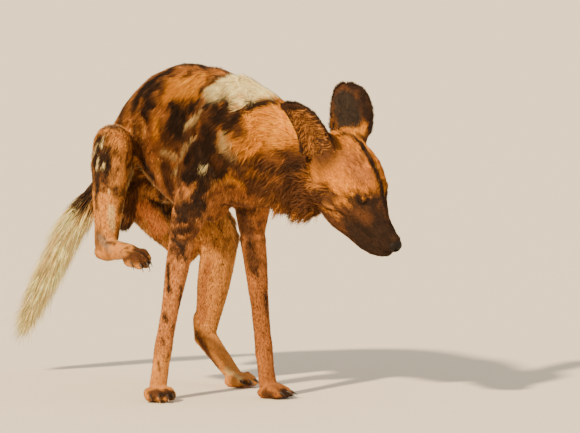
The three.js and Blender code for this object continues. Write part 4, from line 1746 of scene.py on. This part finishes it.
@dataclass
class LashesAndWhiskers:
    """The lashes over each eye and the whiskers beside the muzzle, in mm."""

    lashes: int = 16
    lash_length: float = 9.0
    whiskers: int = 12
    whisker_length: float = 26.0
    row: int = 4  # whiskers from front to back
    start: float = 176.0  # along the head
    width: float = 0.22
    lift: float = 1.3  # in radians

    def build(self, coat: Coat) -> Object:
        """Makes the hairs.

        Args:
            coat: what gives them their finish.

        Returns:
            The object.
        """
        rng = np.random.default_rng(SEED + 1)
        points, ways, lengths = [], [], []
        for eye in (Eye("right"), Eye("left")):
            for turn in range(self.lashes):
                share = turn / (self.lashes - 1) * 2 - 1
                spot = eye.centre + HEAD_FORWARD * (2.6 + 8 * share) - HEAD_UP * (2.0 + 2.6 * share)
                points.append(spot + eye.outward * 11.6)
                ways.append(eye.outward + 0.25 * HEAD_FORWARD + 0.35 * HEAD_UP + rng.normal(0, 0.12, 3))
                lengths.append(self.lash_length)
            for turn in range(self.whiskers):
                back = 12 * (turn % self.row)
                spot = in_head(self.start + back, 0, -26 - 7 * (turn // self.row))
                points.append(spot + eye.outward * (24 - 0.12 * back))
                ways.append(eye.outward - 0.3 * HEAD_FORWARD - 0.4 * HEAD_UP + rng.normal(0, 0.15, 3))
                lengths.append(self.whisker_length)
        normals = unit(np.array(ways))
        lie = unit(np.cross(normals, np.cross(HEAD_FORWARD, normals)))
        count = len(points)
        roots = Roots(np.array(points), normals, np.full((count, 2), 0.5))
        tufts = Tufts(
            "lashes_and_whiskers", roots, lie, np.array(lengths), np.full(count, self.width),
            np.full(count, self.lift), np.tile(np.array(Hue.DARK.value), (count, 1)),
            -0.35 * np.tile(HEAD_FORWARD, (count, 1)),
        )
        return tufts.build(coat.finish, "coat")


def report(piece: Object) -> None:
    """Logs a finished piece."""
    LOG.info("%s: %d faces", piece.name, len(piece.data.polygons))


def dress(viewpoint: Viewpoint) -> tuple[Object, Object, Markings]:
    """Makes the two skins and paints them.

    Args:
        viewpoint: the camera that folds and markings are drawn from.

    Returns:
        The skin of the body, the skin of the head and the pattern.
    """
    neck_cut = in_head(-22, 0, 0)
    backward = unit(place(150, 70, 490) - in_head(0, 0, 0))
    overlap = backward * 8
    body = Skin(
        "body_skin", FLESH, voxel=0.0037, rounds=16, cut_at=neck_cut - overlap, cut_facing=-backward,
        balls=tail_places(step=5.0),
    ).build()
    head = Skin(
        "head_skin", ("head", "neck", "ear_right", "ear_left"), voxel=0.0019, rounds=9, cut_at=neck_cut,
        cut_facing=backward, grow=0.0009, balls=(*ear_roots(), *muzzle_balls()), blend_rounds=40,
    ).build()
    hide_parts(*FLESH, "tail")
    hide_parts("head", "ear_right", "ear_left")
    crease(body.data, viewpoint, tree_of(body, head))
    markings = Markings(viewpoint, tree_of(body, head))
    hide = Finish("hide", roughness=0.85, specular=0.10, bump=0.5).build()
    for skin in (body, head):
        colours = markings.colours(read_points(skin.data), read_normals(skin.data))
        # the skin is painted darker than its hair: painted shade under the fur
        paint(skin.data, FUR_SHADE_ON_SKIN * colours)
        skin.data.materials.append(hide)
        unwrap(skin)
        report(skin)
    return body, head, markings


def grow(coat: Coat, on_body: Ground, on_head: Ground) -> None:
    """Grows every piece of the coat.

    Args:
        coat: what grows the hair.
        on_body: the skin of the body.
        on_head: the skin of the head.
    """
    coat.short("coat_trunk_near", on_body, ("trunk",), count=48000, side=1)
    coat.short("coat_trunk_far", on_body, ("trunk",), count=38000, side=-1)
    coat.short("coat_neck", on_body, ("neck", "head", "ears"), count=46000)
    coat.short("coat_legs", on_body, ("legs",), count=44000)
    coat.short("coat_haunches", on_body, ("haunch",), count=48000)
    coat.short("coat_head", on_head, ("head", "neck"), count=48000)
    coat.short("coat_ears", on_head, ("ears",), count=20000, slot="ear")
    coat.brush(on_body, count=13500)
    for name, ground in (("throat_fringe", on_body), ("cheek_fringe", on_head)):
        below = smooth_step(0.3 - 1.3 * ground.normals.mean(axis=1)[:, 2])
        along = (ground.centres - HEAD_BASE) @ HEAD_FORWARD
        wanted = Body(ground.centres).within("neck", "head") * smooth_step((92 - along) / 50)
        wanted = wanted * smooth_step((ground.centres[:, 0] - 225) / 60)
        coat.fringe(name, ground, below * wanted, count=4200, length=23.0, lift=0.55, lean=(0, 0, -0.5))
    sides = smooth_step((60 - (on_head.centres - HEAD_BASE) @ HEAD_FORWARD) / 30)
    wanted = sides * Body(on_head.centres).within("neck", "head")
    coat.fringe("ruff", on_head, wanted, count=3600, length=19.0, lift=0.34, lean=(0, 0, -0.1))
    coat.fringe("ear_rims", on_head, on_rims(on_head), count=3600, length=8.0, lift=0.6, lean=(0, 0, 0),
                slot="ear", hue=Hue.DARK)
    coat.ear_hair(on_head, count=5000)
    LashesAndWhiskers().build(coat)


def add_bare_pieces() -> None:
    """Adds the eyes, lids, nose and claws."""
    wet = Finish("eye_surface", roughness=0.12, specular=0.5, wet=1.0).build()
    horn = Finish("claw_horn", roughness=0.42, colour=(0.035, 0.024, 0.018)).build()
    leather = Finish("nose_leather", roughness=0.55, colour=(0.009, 0.0055, 0.004), specular=0.14,
                     bump=0.4, bump_scale=600, cells=True).build()
    for side in ("right", "left"):
        eye, rim = Eye(side).ball(), Eye(side).lid_rim()
        eye.data.materials.append(wet)
        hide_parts(f"eye_{side}")
        rim.data.materials.append(leather)
        report(eye)
        report(rim)
    pad = NosePad().build()
    pad.data.materials.append(leather)
    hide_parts("nose")
    report(pad)
    for paw in PAWS:
        claws = paw.claws()
        claws.data.materials.append(horn)
        report(claws)


def main() -> None:
    """Builds the scene in order."""
    logging.basicConfig(level=logging.INFO, format="%(message)s")
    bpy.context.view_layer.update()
    viewpoint = Viewpoint()
    viewpoint.build()
    Studio().build()
    body, head, markings = dress(viewpoint)
    hair = Finish("hair", roughness=0.62, specular=0.12).build()
    grow(Coat(markings, hair), Ground(body), Ground(head))
    add_bare_pieces()


if __name__ == "__main__":
    main()
